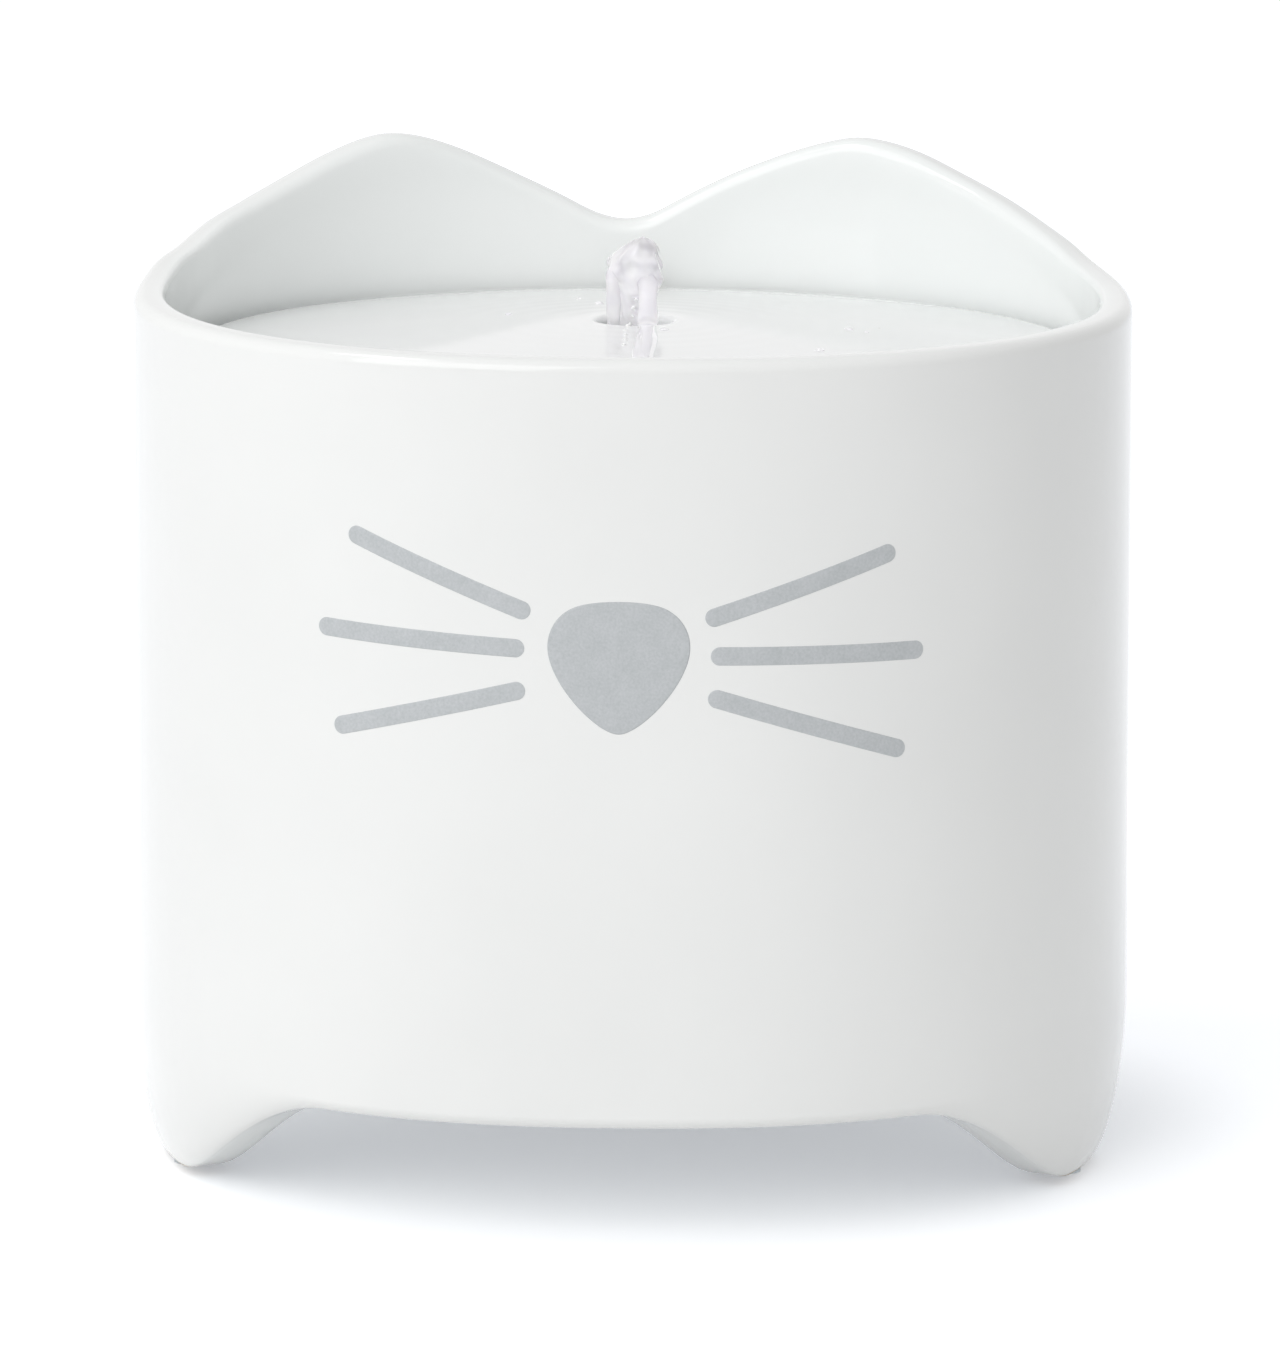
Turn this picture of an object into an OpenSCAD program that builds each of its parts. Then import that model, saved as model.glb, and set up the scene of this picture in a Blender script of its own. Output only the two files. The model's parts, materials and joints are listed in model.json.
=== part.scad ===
// Pet water fountain: a glazed vessel with two ears and three feet, a domed drinking
// plate, and a submersible pump under a slotted filter case. The front faces -Y.

/* [Bowl] */
// Outer width of the bowl, left to right
body_w = 200; // [180:1:240]
// Outer depth of the bowl, front to back
body_d = 200; // [180:1:240]
// Exponent of the plan outline: 2 is an ellipse, more is squarer
squareness = 2.3; // [2:0.1:3]
// Height of the level part of the rim above the ground
rim_h = 174; // [160:1:200]
// Thickness of the wall above the plate's ledge
wall = 6.5; // [4:0.5:8]
// Radius of the rim's inner edge
lip_inner = 1.4; // [0.6:0.2:2.6]
// Radius of the rim's outer edge
lip_outer = 2.6; // [1:0.2:3.6]
// Thickness of the bowl's floor
floor_t = 7; // [4:0.5:10]
// Radius of the hollow between floor and wall, inside
floor_fillet = 10; // [4:1:16]
// Width of the ledge that carries the plate
ledge_w = 8; // [6:0.5:10]
// Depth of the ledge's top below the rim
ledge_drop = 21; // [16:1:30]
// Height over which the ledge slopes back to the wall beneath it
ledge_slope = 16; // [8:1:24]
// Thickness of the wall below the ledge
wall_low = 9; // [6:0.5:12]
// Radius of the bowl's bottom edge between the feet
edge_r = 2.5; // [2:0.5:6]
// How far the underside is hollowed towards its centre
belly_hollow = 2; // [0:0.5:3]

/* [Ears] */
// Height of the ears above the rim
ear_h = 17.5; // [8:0.5:30]
// Angle from the middle of the back to the peak of an ear
ear_angle = 28.5; // [24:0.5:36]
// Angle from there to the place where an ear runs out into the rim
ear_reach = 66.6; // [56:0.2:80]
// Angle by which both ears are turned about the vertical, anticlockwise from above
ear_turn = 3; // [-6:0.5:6]
// How blunt the peak is: 0.1 is sharp
ear_blunt = 0.5; // [0.1:0.01:0.8]
// How wide the round valley between the ears is, in degrees
valley_w = 3; // [2:1:12]

/* [Feet] */
// Clearance under the bowl between the feet
foot_h = 22; // [14:1:30]
// Angle of the front feet below the side-to-side line
foot_angle = 20; // [12:1:32]
// Half the width of a foot where it leaves the bowl, in degrees
foot_spread = 36; // [26:1:42]
// Half the width of a foot's flat bottom, in degrees
foot_flat_a = 4; // [2:1:10]
// How full a foot's sides are: 1 is a plain wave, more is fuller
foot_round = 1; // [0.8:0.1:2.5]
// How far a foot's outside draws in at the ground
foot_inset = 6; // [3:0.5:12]
// Height over which a foot's outside draws in
foot_rise = 32; // [20:1:45]
// Depth of a foot's flat bottom, measured inwards
foot_flat = 6; // [4:0.5:14]
// Length of a foot's inner slope, measured inwards
foot_slope = 23; // [10:1:30]
// Diameter of the soft pads under the feet
pad_d = 6.5; // [4:0.5:9]
// Thickness of the pads
pad_t = 1.2; // [0.8:0.1:2]

/* [Plate] */
// Gap between the plate's edge and the bowl's wall, where the water drains
drain_gap = 3; // [2:0.5:5]
// Thickness of the plate
plate_t = 3.2; // [2.5:0.1:5]
// Height of the dome in the middle of the plate
dome_h = 7.4; // [4:0.2:10]
// Height of the studs under the plate's edge, which leave room for draining
stud_h = 2.6; // [2:0.2:5]
// Diameter of the studs
stud_d = 5; // [3:0.5:6]
// Number of studs
stud_count = 6; // [3:1:10]
// Diameter of the water outlet in the middle of the plate
outlet_d = 15; // [13:0.5:18]
// Width of the notch for a lead at the back of the plate
notch_w = 8; // [6:0.5:12]
// Depth of the notch
notch_depth = 6; // [4:0.5:8]
// Length of the socket tube under the outlet
socket_l = 14; // [10:1:20]
// Thickness of the socket tube
socket_wall = 2; // [1.5:0.1:3]

/* [Riser] */
// Outer diameter of the riser tube
riser_d = 12; // [10:0.5:14]
// Wall of the riser tube
riser_wall = 1.2; // [1:0.1:2]
// Depth of the riser tube's top below the plate's outlet
riser_drop = 2.4; // [1:0.2:5]
// Height of the soft sleeve on top of the riser
sleeve_h = 8; // [5:0.5:12]
// Running gap between the sleeve and the plate's socket
sleeve_gap = 0.3; // [0.2:0.05:0.5]
// Depth to which the riser stands in its adapter
adapter_grip = 10; // [6:1:14]
// Wall of the adapter
adapter_wall = 1.8; // [1.4:0.1:2.5]

/* [Filter] */
// Room between the pump's corners and the foam inside the filter case
case_room = 1.5; // [1:0.5:8]
// Room between the pump's outlet and the top of the deck that carries the cartridge
deck_room = 4; // [3:0.5:12]
// Wall of the filter case and of its tray
case_wall = 2; // [1.6:0.1:3]
// Height of the tray's wall round the cartridge
tray_h = 15; // [12:1:24]
// Number of slots in the case's side
slot_count = 18; // [10:2:24]
// Height of the lip under the tray that keeps it in the middle of the case
tray_lip = 3; // [2:0.5:5]
// Width of a slot
slot_w = 4; // [3:0.5:6]
// Height of a slot
slot_h = 26; // [16:1:30]
// Thickness of the fleece on each face of the cartridge
fleece_t = 2; // [1:0.5:3]
// Thickness of the carbon bed
carbon_t = 7; // [5:0.5:12]
// Thickness of the foam ring inside the case
foam_t = 5; // [3:0.5:6]
// Thickness of the grid that closes the filter
grid_t = 2; // [1.5:0.5:3]
// Number of spokes in the grid
grid_spokes = 12; // [6:1:16]
// Width of the grid's spokes and rings
grid_bar = 2.4; // [1.6:0.2:3]
// Number of rings in the grid between its hub and its edge
grid_rings = 2; // [1:1:3]
// Number of holes in the deck under the cartridge
deck_holes = 12; // [6:1:16]
// Diameter of these holes
deck_hole_d = 9; // [6:0.5:11]

/* [Pump] */
// Width of the pump
pump_w = 44; // [42:1:50]
// Length of the pump's motor block, front to back
pump_l = 28; // [27:0.5:30]
// Room between the rotor's well and the coil above it
coil_room = 3.5; // [1:0.5:6]
// Radius of the pump's long edges
pump_r = 5; // [2:1:8]
// Wall between the rotor's well and the potted motor
well_wall = 1.5; // [1:0.1:2]
// Diameter of the magnet
magnet_d = 13; // [11:0.5:15]
// Length of the magnet
magnet_l = 17; // [14:1:20]
// Gap all round the magnet
magnet_gap = 0.7; // [0.4:0.1:1]
// Diameter of the shaft
shaft_d = 2.3; // [2:0.1:3]
// Running gap round the shaft
shaft_gap = 0.06; // [0.03:0.01:0.1]
// Diameter of the rubber bushes
bush_d = 6; // [5:0.5:7]
// Length of the bushes
bush_l = 2.5; // [2:0.1:3]
// Diameter of the impeller
impeller_d = 21; // [18:0.5:24]
// Height of the impeller's blades, along the shaft
blade_l = 7; // [5:0.5:8]
// Thickness of a blade
blade_t = 1.2; // [1:0.1:1.6]
// Number of blades
blade_count = 6; // [4:1:8]
// Gap round the impeller
impeller_gap = 1; // [0.6:0.1:1.5]
// Wall of the pump chamber
chamber_wall = 2; // [1.6:0.1:2.6]
// Height of the shaft above the pump's underside
shaft_h = 16; // [15:0.5:17]
// Thickness of the pump cover's front, which carries the bush
cover_front = 3.5; // [3.2:0.1:4]
// Diameter of the intake
intake_d = 16; // [14:0.5:18]
// Width of the arms across the intake
arm_w = 1.6; // [1.2:0.1:2]
// Outer diameter of the pump's outlet
spout_d = 13; // [12:0.5:15]
// Height of the pump's outlet
spout_h = 8; // [6:0.5:10]
// Width of the flow slide
slide_w = 18; // [17:0.5:20]
// Height of the flow slide
slide_h = 11; // [9:0.5:12]
// Thickness of the flow slide
slide_t = 1.6; // [1.2:0.1:2]
// Travel of the flow slide
slide_travel = 7; // [4:0.5:8]
// Width and thickness of the rails that hold the slide
rail_w = 1.6; // [1.2:0.1:2]
// Height of a suction cup
cup_h = 6; // [5:0.5:8]
// Diameter of a suction cup
cup_d = 12; // [10:0.5:13]
// Bore of the gland for the lead
lead_d = 4.4; // [3.5:0.1:5]
// Outer diameter of the gland
gland_d = 8; // [7:0.5:10]
// Length of the gland outside the pump
gland_l = 6; // [4:0.5:7]

/* [Hidden] */

$fn = 48;
lift_gap = 0.3;         // between pieces that lift or slide apart
press_gap = 0.02;       // round pieces that are pressed together

white = "#eef0f0";
cool_white = "#e6e8e8";
smoke = "#3a3f44";
clear_white = "#dfe7ea";

// ---------- outline and heights of the bowl ----------

steps = 120;            // points round the bowl
plate_steps = 90;       // points round the plate

function power_of(value, exponent) = sign(value) * pow(abs(value), exponent);

// A point of the plan outline, drawn in from the outside by inset
function outline(t, inset) = [
    (body_w / 2 - inset) * power_of(cos(t), 2 / squareness),
    (body_d / 2 - inset) * power_of(sin(t), 2 / squareness)
];

function azimuth(t) = let (p = outline(t, 0)) atan2(p.y, p.x);

// The angle between two directions, from 0 to 180
function apart(a, b) = abs(((a - b + 540) % 360) - 180);

function soft_min(a, b, k) = (a + b - sqrt((a - b) * (a - b) + k * k)) / 2;
function soft_max(a, b, k) = (a + b + sqrt((a - b) * (a - b) + k * k)) / 2;
function ease(x) = let (c = min(1, max(0, x))) c * c * (3 - 2 * c);

// An ear has two straight flanks that meet in a blunt peak. Both run out softly.
ear_round = ear_blunt * ear_h;
flank_meet = 0.95 * ear_angle;
flank_top = 1.06 * ear_h + 0.485 * ear_round;
inner_slope = flank_top / (sqrt(flank_meet * flank_meet + valley_w * valley_w) - valley_w);
outer_slope = flank_top / (ear_reach - flank_meet);
function ear(t) = let (
        u = apart(azimuth(t), 90 + ear_turn),
        inner = inner_slope * (sqrt(u * u + valley_w * valley_w) - valley_w),
        outer = outer_slope * (ear_reach - u)
    ) soft_max(0, soft_min(inner, outer, ear_round), ear_h * 0.12) - ear_h * 0.06;

// The share of a foot in a direction: 1 at the foot's middle and 0 away from it
foot_azimuths = [180 + foot_angle, 360 - foot_angle, 90];
function foot_one(gap) = let (x = (gap - foot_flat_a) / (foot_spread - foot_flat_a))
    1 - ease(pow(min(1, max(0, x)), foot_round));
function foot(t) = let (a = azimuth(t)) max([for (f = foot_azimuths) foot_one(apart(a, f))]);

belly_z = foot_h + pad_t;
floor_z = belly_z + floor_t;
ledge_z = rim_h - ledge_drop;
plate_inset = wall + drain_gap;
lip_in_r = min(lip_inner, 0.4 * wall);
lip_out_r = min(lip_outer, 0.45 * wall);

// ---------- the bowl's skin, from the middle of the floor inside to that underneath ----------

// The points of a ring, from functions that give its inset and its height in a direction
function ring_points(inset_at, z_at) = [
    for (i = [0:steps - 1])
        let (t = i * 360 / steps, p = outline(t, inset_at(t)))
            [p.x, p.y, z_at(t)]
];
// A ring at one inset and one height
function level_ring(inset, z) = ring_points(function (t) inset, function (t) z);

floor_inset = wall_low + floor_fillet;
floor_run = min(body_w, body_d) / 2 - floor_inset;

floor_rings = [for (share = [0.35, 0.7])
    level_ring(floor_inset + floor_run * (1 - share), floor_z)];
fillet_rings = [for (a = [0:18:90])
    level_ring(floor_inset - floor_fillet * sin(a), floor_z + floor_fillet * (1 - cos(a)))];
// The ledge stops at the back over the width of a few points, where a lead comes up
function ledge_in(t) = apart(t, 90) < 1.4 * 360 / steps ? wall_low : wall + ledge_w;
ledge_rings = [
    level_ring(wall_low, ledge_z - ledge_slope),
    ring_points(function (t) ledge_in(t), function (t) ledge_z - ledge_slope / 3),
    ring_points(function (t) ledge_in(t), function (t) ledge_z - 1),
    ring_points(function (t) ledge_in(t) - 1, function (t) ledge_z),
    level_ring(wall + 1, ledge_z),
    level_ring(wall, ledge_z + 1)
];
lip_rings = concat(
    [for (a = [0:30:90]) ring_points(
        function (t) wall - lip_in_r * (1 - cos(a)),
        function (t) rim_h - lip_in_r * (1 - sin(a)) + ear(t))],
    [for (a = [0:22.5:90]) ring_points(
        function (t) lip_out_r * (1 - sin(a)),
        function (t) rim_h - lip_out_r * (1 - cos(a)) + ear(t))]);

// Outside, the wall draws in to the bottom along a quarter of an ellipse, tight between the
// feet and long on them
function draw_in(t) = edge_r + (foot_inset - edge_r) * foot(t);
function draw_up(t) = edge_r + (foot_rise - edge_r) * foot(t);
function bottom_z(t) = pad_t + foot_h * (1 - foot(t));
edge_rings = [for (a = [0:15:90]) ring_points(
    function (t) draw_in(t) * (1 - cos(a)),
    function (t) bottom_z(t) + draw_up(t) * (1 - sin(a)))];
flank_rings = [for (s = [0:0.2:1]) ring_points(
    function (t) draw_in(t) + foot_flat + foot_slope * s,
    function (t) bottom_z(t) + (belly_z - bottom_z(t)) * ease(s))];
under_inset = foot_inset + foot_flat + foot_slope;
under_rings = [for (share = [0.4, 0.75])
    level_ring(under_inset + (body_w / 2 - under_inset) * share, belly_z + belly_hollow * share)];

skin_rings = concat(floor_rings, fillet_rings, ledge_rings, lip_rings,
    edge_rings, flank_rings, under_rings);

// A closed skin over a stack of rings, with a point at its first and at its last end
function skin_faces(count, n) = concat(
    [for (i = [0:n - 1]) [count * n, i, (i + 1) % n]],
    [for (k = [0:count - 2], i = [0:n - 1], half = [0, 1]) let (
            a = k * n + i, b = k * n + (i + 1) % n, c = a + n, d = b + n)
        half == 0 ? [a, c, b] : [b, c, d]],
    [for (i = [0:n - 1]) [count * n + 1, (count - 1) * n + (i + 1) % n, (count - 1) * n + i]]
);
module skin(rings, first, last) {
    n = len(rings[0]);
    points = concat([for (ring = rings, p = ring) p], [first, last]);
    polyhedron(points = points, faces = skin_faces(len(rings), n), convexity = 8);
}

module bowl() {
    color(white)
        skin(skin_rings, [0, 0, floor_z], [0, 0, belly_z + belly_hollow]);
}

// The middle of a foot's flat bottom, in the foot's direction
function foot_place(a) = let (
        inset = foot_inset + foot_flat / 2,
        x = abs(cos(a)) / (body_w / 2 - inset),
        y = abs(sin(a)) / (body_d / 2 - inset)
    ) pow(pow(x, squareness) + pow(y, squareness), -1 / squareness) * [cos(a), sin(a)];

module foot_pad(a) {
    color(clear_white)
        translate(concat(foot_place(a), [0]))
            cylinder(d = pad_d, h = pad_t);
}

module foot_pad_left() { foot_pad(foot_azimuths[0]); }
module foot_pad_right() { foot_pad(foot_azimuths[1]); }
module foot_pad_back() { foot_pad(foot_azimuths[2]); }

// ---------- drinking plate ----------

plate_z = ledge_z + stud_h + plate_t;        // top of the plate at its edge
plate_r = max(body_w, body_d) / 2 * 1.05 - plate_inset;
dome_r = (plate_r * plate_r + dome_h * dome_h) / (2 * dome_h);
plate_top = plate_z + dome_h;
function dome_z(r) = plate_z + dome_h - dome_r + sqrt(dome_r * dome_r - r * r);

stud_inset = plate_inset + stud_d / 2;

module plate_outline() {
    polygon([for (i = [0:plate_steps - 1]) outline(i * 360 / plate_steps, plate_inset)]);
}

// A shell between two domes, as wide as the widest corner of the plate
module dome_shell() {
    r = plate_r + 2;
    intersection() {
        difference() {
            translate([0, 0, plate_top - dome_r])
                sphere(r = dome_r, $fn = 180);
            translate([0, 0, plate_top - dome_r - plate_t])
                sphere(r = dome_r, $fn = 180);
        }
        translate([0, 0, plate_z - plate_t])
            cylinder(r = r, h = dome_h + plate_t + 1, $fn = 90);
    }
}

module plate() {
    color(cool_white)
        difference() {
            union() {
                intersection() {
                    translate([0, 0, plate_z - plate_t - 1])
                        linear_extrude(dome_h + plate_t + 2) plate_outline();
                    dome_shell();
                }
                translate([0, 0, plate_top - plate_t - socket_l])
                    cylinder(d = outlet_d + 2 * socket_wall, h = socket_l + plate_t / 2);
                for (i = [0:stud_count - 1])
                    let (p = outline(90 + (i + 0.5) * 360 / stud_count, stud_inset))
                        translate([p.x, p.y, ledge_z + lift_gap])
                            cylinder(d = stud_d, h = dome_z(norm(p)) - plate_t / 2 - ledge_z - lift_gap);
            }
            translate([0, 0, plate_top - plate_t - socket_l - 1])
                cylinder(d = outlet_d, h = socket_l + plate_t + 3);
            translate([-notch_w / 2, body_d / 2 - plate_inset - notch_depth, plate_z - plate_t - 2])
                cube([notch_w, notch_depth + 2, dome_h + plate_t + 3]);
        }
}

// ---------- pump ----------

// The shaft runs along Y through the pump's middle. The impeller turns round the vertical
// line of the riser, so the outlet rises straight to the plate.
well_d = magnet_d + 2 * magnet_gap;
coil_t = 3.2;           // thickness of the coil's winding
core_leg = 5;           // width of the yoke's legs
core_gap = 0.4;         // between the coil and the walls of its room
pump_h = shaft_h + well_d / 2 + well_wall + coil_room + coil_t + core_leg + coil_t
    + core_gap + chamber_wall;
pump_z = floor_z + cup_h;
pump_top = pump_z + pump_h;
shaft_z = pump_z + shaft_h;
chamber_half = blade_l / 2 + impeller_gap;
cover_y = -chamber_half - cover_front;
body_y = chamber_half;
back_y = body_y + pump_l;
magnet_y = chamber_half + magnet_gap;
well_end = magnet_y + magnet_l + magnet_gap + bush_l;
shaft_bore = shaft_d + 2 * shaft_gap;
hub_d = shaft_d + 4;
sleeve_od = shaft_d + 2.6;
cup_inset = cup_d / 2 + 0.5;
cup_places = [for (x = [-1, 1], y = [body_y + cup_inset, back_y - cup_inset])
    [x * (pump_w / 2 - cup_inset), y]];
case_wall_in = norm([pump_w / 2, back_y]) + case_room + foam_t + lift_gap;
case_d = 2 * (case_wall_in + case_wall);
case_h = cup_h + pump_h + spout_h + deck_room;

// A piece turned about the shaft, from one place on it to another
module on_shaft(y0, y1, d) {
    translate([0, y0, shaft_z])
        rotate([-90, 0, 0])
            cylinder(d = d, h = y1 - y0);
}

// The pump's outline, with round long edges, from one place along the shaft to another
module pump_block(y0, y1, inset) {
    r = max(0.5, pump_r - inset);
    x = pump_w / 2 - inset - r;
    translate([0, y1, pump_z + inset])
        rotate([90, 0, 0])
            linear_extrude(y1 - y0) {
                translate([-x, r]) circle(r);
                translate([x, r]) circle(r);
                translate([-x, pump_h - 2 * inset - r]) circle(r);
                translate([x, pump_h - 2 * inset - r]) circle(r);
                translate([-x - r, r]) square([2 * (x + r), pump_h - 2 * inset - 2 * r]);
                translate([-x, 0]) square([2 * x, pump_h - 2 * inset]);
            }
}

gland_z = pump_top - gland_d / 2 - 5;

module pump_body() {
    color(smoke)
        difference() {
            pump_block(body_y, back_y, 0);
            difference() {
                pump_block(body_y + chamber_wall, back_y - chamber_wall, chamber_wall);
                on_shaft(body_y, well_end + well_wall, well_d + 2 * well_wall);
            }
            on_shaft(body_y - 1, well_end - bush_l, well_d);
            on_shaft(body_y, well_end, bush_d + 2 * press_gap);
            translate([0, back_y - chamber_wall - 1, gland_z])
                rotate([-90, 0, 0])
                    cylinder(d = gland_d + 2 * press_gap, h = chamber_wall + 2);
        }
}

module pump_cover() {
    spout_bore = spout_d - 2 * chamber_wall;
    color(smoke)
        difference() {
            union() {
                pump_block(cover_y, body_y, 0);
                translate([0, 0, pump_top])
                    cylinder(d = spout_d, h = spout_h);
                for (side = [-1, 1])
                    translate([side * (slide_w / 2 + lift_gap + rail_w / 2), 0, 0])
                        rail(side);
            }
            on_shaft(-chamber_half, body_y + 1, impeller_d + 2 * impeller_gap);
            difference() {
                on_shaft(cover_y - 1, -chamber_half + 1, intake_d);
                on_shaft(cover_y, -chamber_half, bush_d + 2 * rail_w);
                for (a = [0, 120, 240])
                    translate([0, cover_y, shaft_z])
                        rotate([0, a, 0])
                            translate([-arm_w / 2, 0, 0])
                                cube([arm_w, cover_front, intake_d / 2 + 1]);
            }
            on_shaft(-chamber_half - bush_l, -chamber_half + 1, bush_d + 2 * press_gap);
            translate([0, 0, shaft_z])
                cylinder(d = spout_bore, h = pump_h + spout_h);
        }
}

// One of the two rails in which the flow slide runs, with its lip over the slide's edge
slide_y = cover_y - lift_gap;
slide_top = shaft_z + intake_d / 2 + 1 + slide_h;
module rail(side) {
    bottom = slide_top - slide_h - slide_travel - 1;
    depth = 2 * lift_gap + slide_t + rail_w;
    translate([-rail_w / 2, cover_y - depth, bottom])
        cube([rail_w, depth + 1, slide_top - bottom]);
    translate([-rail_w / 2 - (side > 0 ? rail_w : 0), cover_y - depth, bottom])
        cube([2 * rail_w, rail_w, slide_top - bottom]);
}

module flow_slide() {
    grip = 2.2;
    color(cool_white)
        union() {
            translate([-slide_w / 2, slide_y - slide_t, slide_top - slide_h])
                cube([slide_w, slide_t, slide_h]);
            for (k = [0.35, 0.6, 0.85])
                translate([-slide_w / 4, slide_y - slide_t - grip, slide_top - slide_h * k - 0.5])
                    cube([slide_w / 2, grip + 0.5, 1]);
        }
}

module rear_bush() {
    color("#2b2d2f")
        difference() {
            on_shaft(well_end - bush_l, well_end, bush_d);
            on_shaft(well_end - bush_l - 1, well_end + 1, shaft_d + 2 * press_gap);
        }
}

module front_bush() {
    color("#2b2d2f")
        difference() {
            on_shaft(-chamber_half - bush_l, -chamber_half, bush_d);
            on_shaft(-chamber_half - bush_l - 1, -chamber_half + 1, shaft_d + 2 * press_gap);
        }
}

module shaft() {
    color("#f4f2ec")
        on_shaft(-chamber_half - bush_l, well_end, shaft_d);
}

module rotor_magnet() {
    color("#4a4c50")
        difference() {
            on_shaft(magnet_y, magnet_y + magnet_l, magnet_d);
            on_shaft(magnet_y - 1, magnet_y + magnet_l + 1, sleeve_od + 2 * press_gap);
        }
}

module impeller() {
    disc_t = blade_t;
    front = -blade_l / 2;
    back = blade_l / 2;
    color("#f1f1ee")
        difference() {
            union() {
                on_shaft(front, back, hub_d);
                on_shaft(back - disc_t, back, impeller_d);
                on_shaft(back - 0.5, magnet_y, hub_d);
                on_shaft(magnet_y - 0.5, magnet_y + magnet_l, sleeve_od);
                for (i = [0:blade_count - 1])
                    translate([0, front, shaft_z])
                        rotate([0, i * 360 / blade_count, 0])
                            translate([-blade_t / 2, 0, hub_d / 2 - 0.5])
                                cube([blade_t, blade_l - disc_t / 2, (impeller_d - hub_d) / 2]);
            }
            on_shaft(front - 1, magnet_y + magnet_l + 1, shaft_bore);
        }
}

// The potted motor: a yoke over the rotor's well, with a coil round its top
core_y = body_y + chamber_wall + coil_t + lift_gap;
core_l = magnet_l - 3;
core_in = well_d / 2 + well_wall + 0.3;
core_top = pump_top - chamber_wall - coil_t - core_gap;
module motor_core() {
    bottom = shaft_z - magnet_d / 2;
    color("#8b8d90")
        difference() {
            translate([-core_in - core_leg, core_y, bottom])
                cube([2 * (core_in + core_leg), core_l, core_top - bottom]);
            on_shaft(core_y - 1, core_y + core_l + 1, 2 * core_in);
            translate([-core_in, core_y - 1, bottom - 1])
                cube([2 * core_in, core_l + 2, shaft_z - bottom + 1]);
            translate([-core_in, core_y - 1, shaft_z])
                cube([2 * core_in, core_l + 2, core_top - core_leg - shaft_z]);
        }
}

module motor_coil() {
    inner = 0.1;
    color("#b87a3d")
        difference() {
            translate([-core_in + 1, core_y - coil_t, core_top - core_leg - coil_t])
                cube([2 * core_in - 2, core_l + 2 * coil_t, core_leg + 2 * coil_t]);
            translate([-core_in, core_y - inner, core_top - core_leg - inner])
                cube([2 * core_in, core_l + 2 * inner, core_leg + 2 * inner]);
        }
}

module lead_gland() {
    color("#2b2d2f")
        translate([0, back_y - chamber_wall, gland_z])
            rotate([-90, 0, 0])
                difference() {
                    union() {
                        cylinder(d = gland_d, h = chamber_wall + 0.5);
                        translate([0, 0, chamber_wall])
                            cylinder(d1 = gland_d + 2, d2 = gland_d - 1, h = gland_l);
                    }
                    translate([0, 0, -1])
                        cylinder(d = lead_d, h = gland_l + chamber_wall + 2);
                }
}

module suction_cup(place) {
    lip = 1.2;
    neck = cup_d * 0.36;
    color(clear_white)
        translate([place.x, place.y, floor_z])
            rotate_extrude()
                polygon([
                    [0, cup_h], [neck / 2, cup_h], [neck / 2, cup_h * 0.62],
                    [cup_d / 2, lip * 0.5], [cup_d / 2, 0], [cup_d / 2 - lip, 0], [0, cup_h * 0.3]
                ]);
}

module suction_cup_1() { suction_cup(cup_places[0]); }
module suction_cup_2() { suction_cup(cup_places[1]); }
module suction_cup_3() { suction_cup(cup_places[2]); }
module suction_cup_4() { suction_cup(cup_places[3]); }

// ---------- riser ----------

adapter_bore = spout_d + 2 * press_gap;
adapter_d = adapter_bore + 2 * adapter_wall;
adapter_low = pump_top + 0.5;
adapter_step = pump_top + spout_h;
riser_low = adapter_step + 1;
riser_top = plate_top - riser_drop;
riser_bore = riser_d - 2 * riser_wall;

module riser_adapter() {
    color("#d7dcde")
        difference() {
            translate([0, 0, adapter_low])
                cylinder(d = adapter_d, h = riser_low + adapter_grip - adapter_low);
            translate([0, 0, adapter_low - 1])
                cylinder(d = adapter_bore, h = adapter_step - adapter_low + 1);
            translate([0, 0, adapter_step - 1])
                cylinder(d = riser_bore, h = 3);
            translate([0, 0, riser_low])
                cylinder(d = riser_d + 2 * press_gap, h = adapter_grip + 1);
        }
}

module riser_tube() {
    color("#dde6ea")
        translate([0, 0, riser_low])
            difference() {
                cylinder(d = riser_d, h = riser_top - riser_low);
                translate([0, 0, -1])
                    cylinder(d = riser_bore, h = riser_top - riser_low + 2);
            }
}

module riser_sleeve() {
    color("#cfd6d8")
        translate([0, 0, riser_top - sleeve_h])
            difference() {
                cylinder(d = outlet_d - 2 * sleeve_gap, h = sleeve_h);
                translate([0, 0, -1])
                    cylinder(d = riser_d + 2 * press_gap, h = sleeve_h + 2);
            }
}

// ---------- filter ----------

deck_z = floor_z + case_h;
deck_t = case_wall;
cartridge_z = deck_z;
cartridge_h = 2 * fleece_t + carbon_t;
collar_in = adapter_d / 2 + lift_gap;
collar_out = collar_in + case_wall;
cartridge_in = collar_out + lift_gap;
cartridge_out = case_wall_in - lift_gap;
slot_z = floor_z + 7;

module ring(r_out, r_in, z, h) {
    translate([0, 0, z])
        difference() {
            cylinder(r = r_out, h = h, $fn = 96);
            translate([0, 0, -1])
                cylinder(r = r_in, h = h + 2, $fn = 96);
        }
}

// The way out for the lead, at the back of the case and of the foam
module lead_way(z, h) {
    translate([-notch_w / 2, case_wall_in - foam_t - 2, z - 1])
        cube([notch_w, foam_t + case_wall + 4, h + 1]);
}

module filter_case() {
    color("#f0f1f1")
        difference() {
            ring(case_d / 2, case_wall_in, floor_z, case_h - deck_t);
            for (i = [0:slot_count - 1])
                rotate([0, 0, (i + 0.5) * 360 / slot_count])
                    translate([case_wall_in - 1, -slot_w / 2, slot_z])
                        cube([case_wall + 2, slot_w, slot_h]);
            lead_way(floor_z, notch_w);
        }
}

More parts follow.
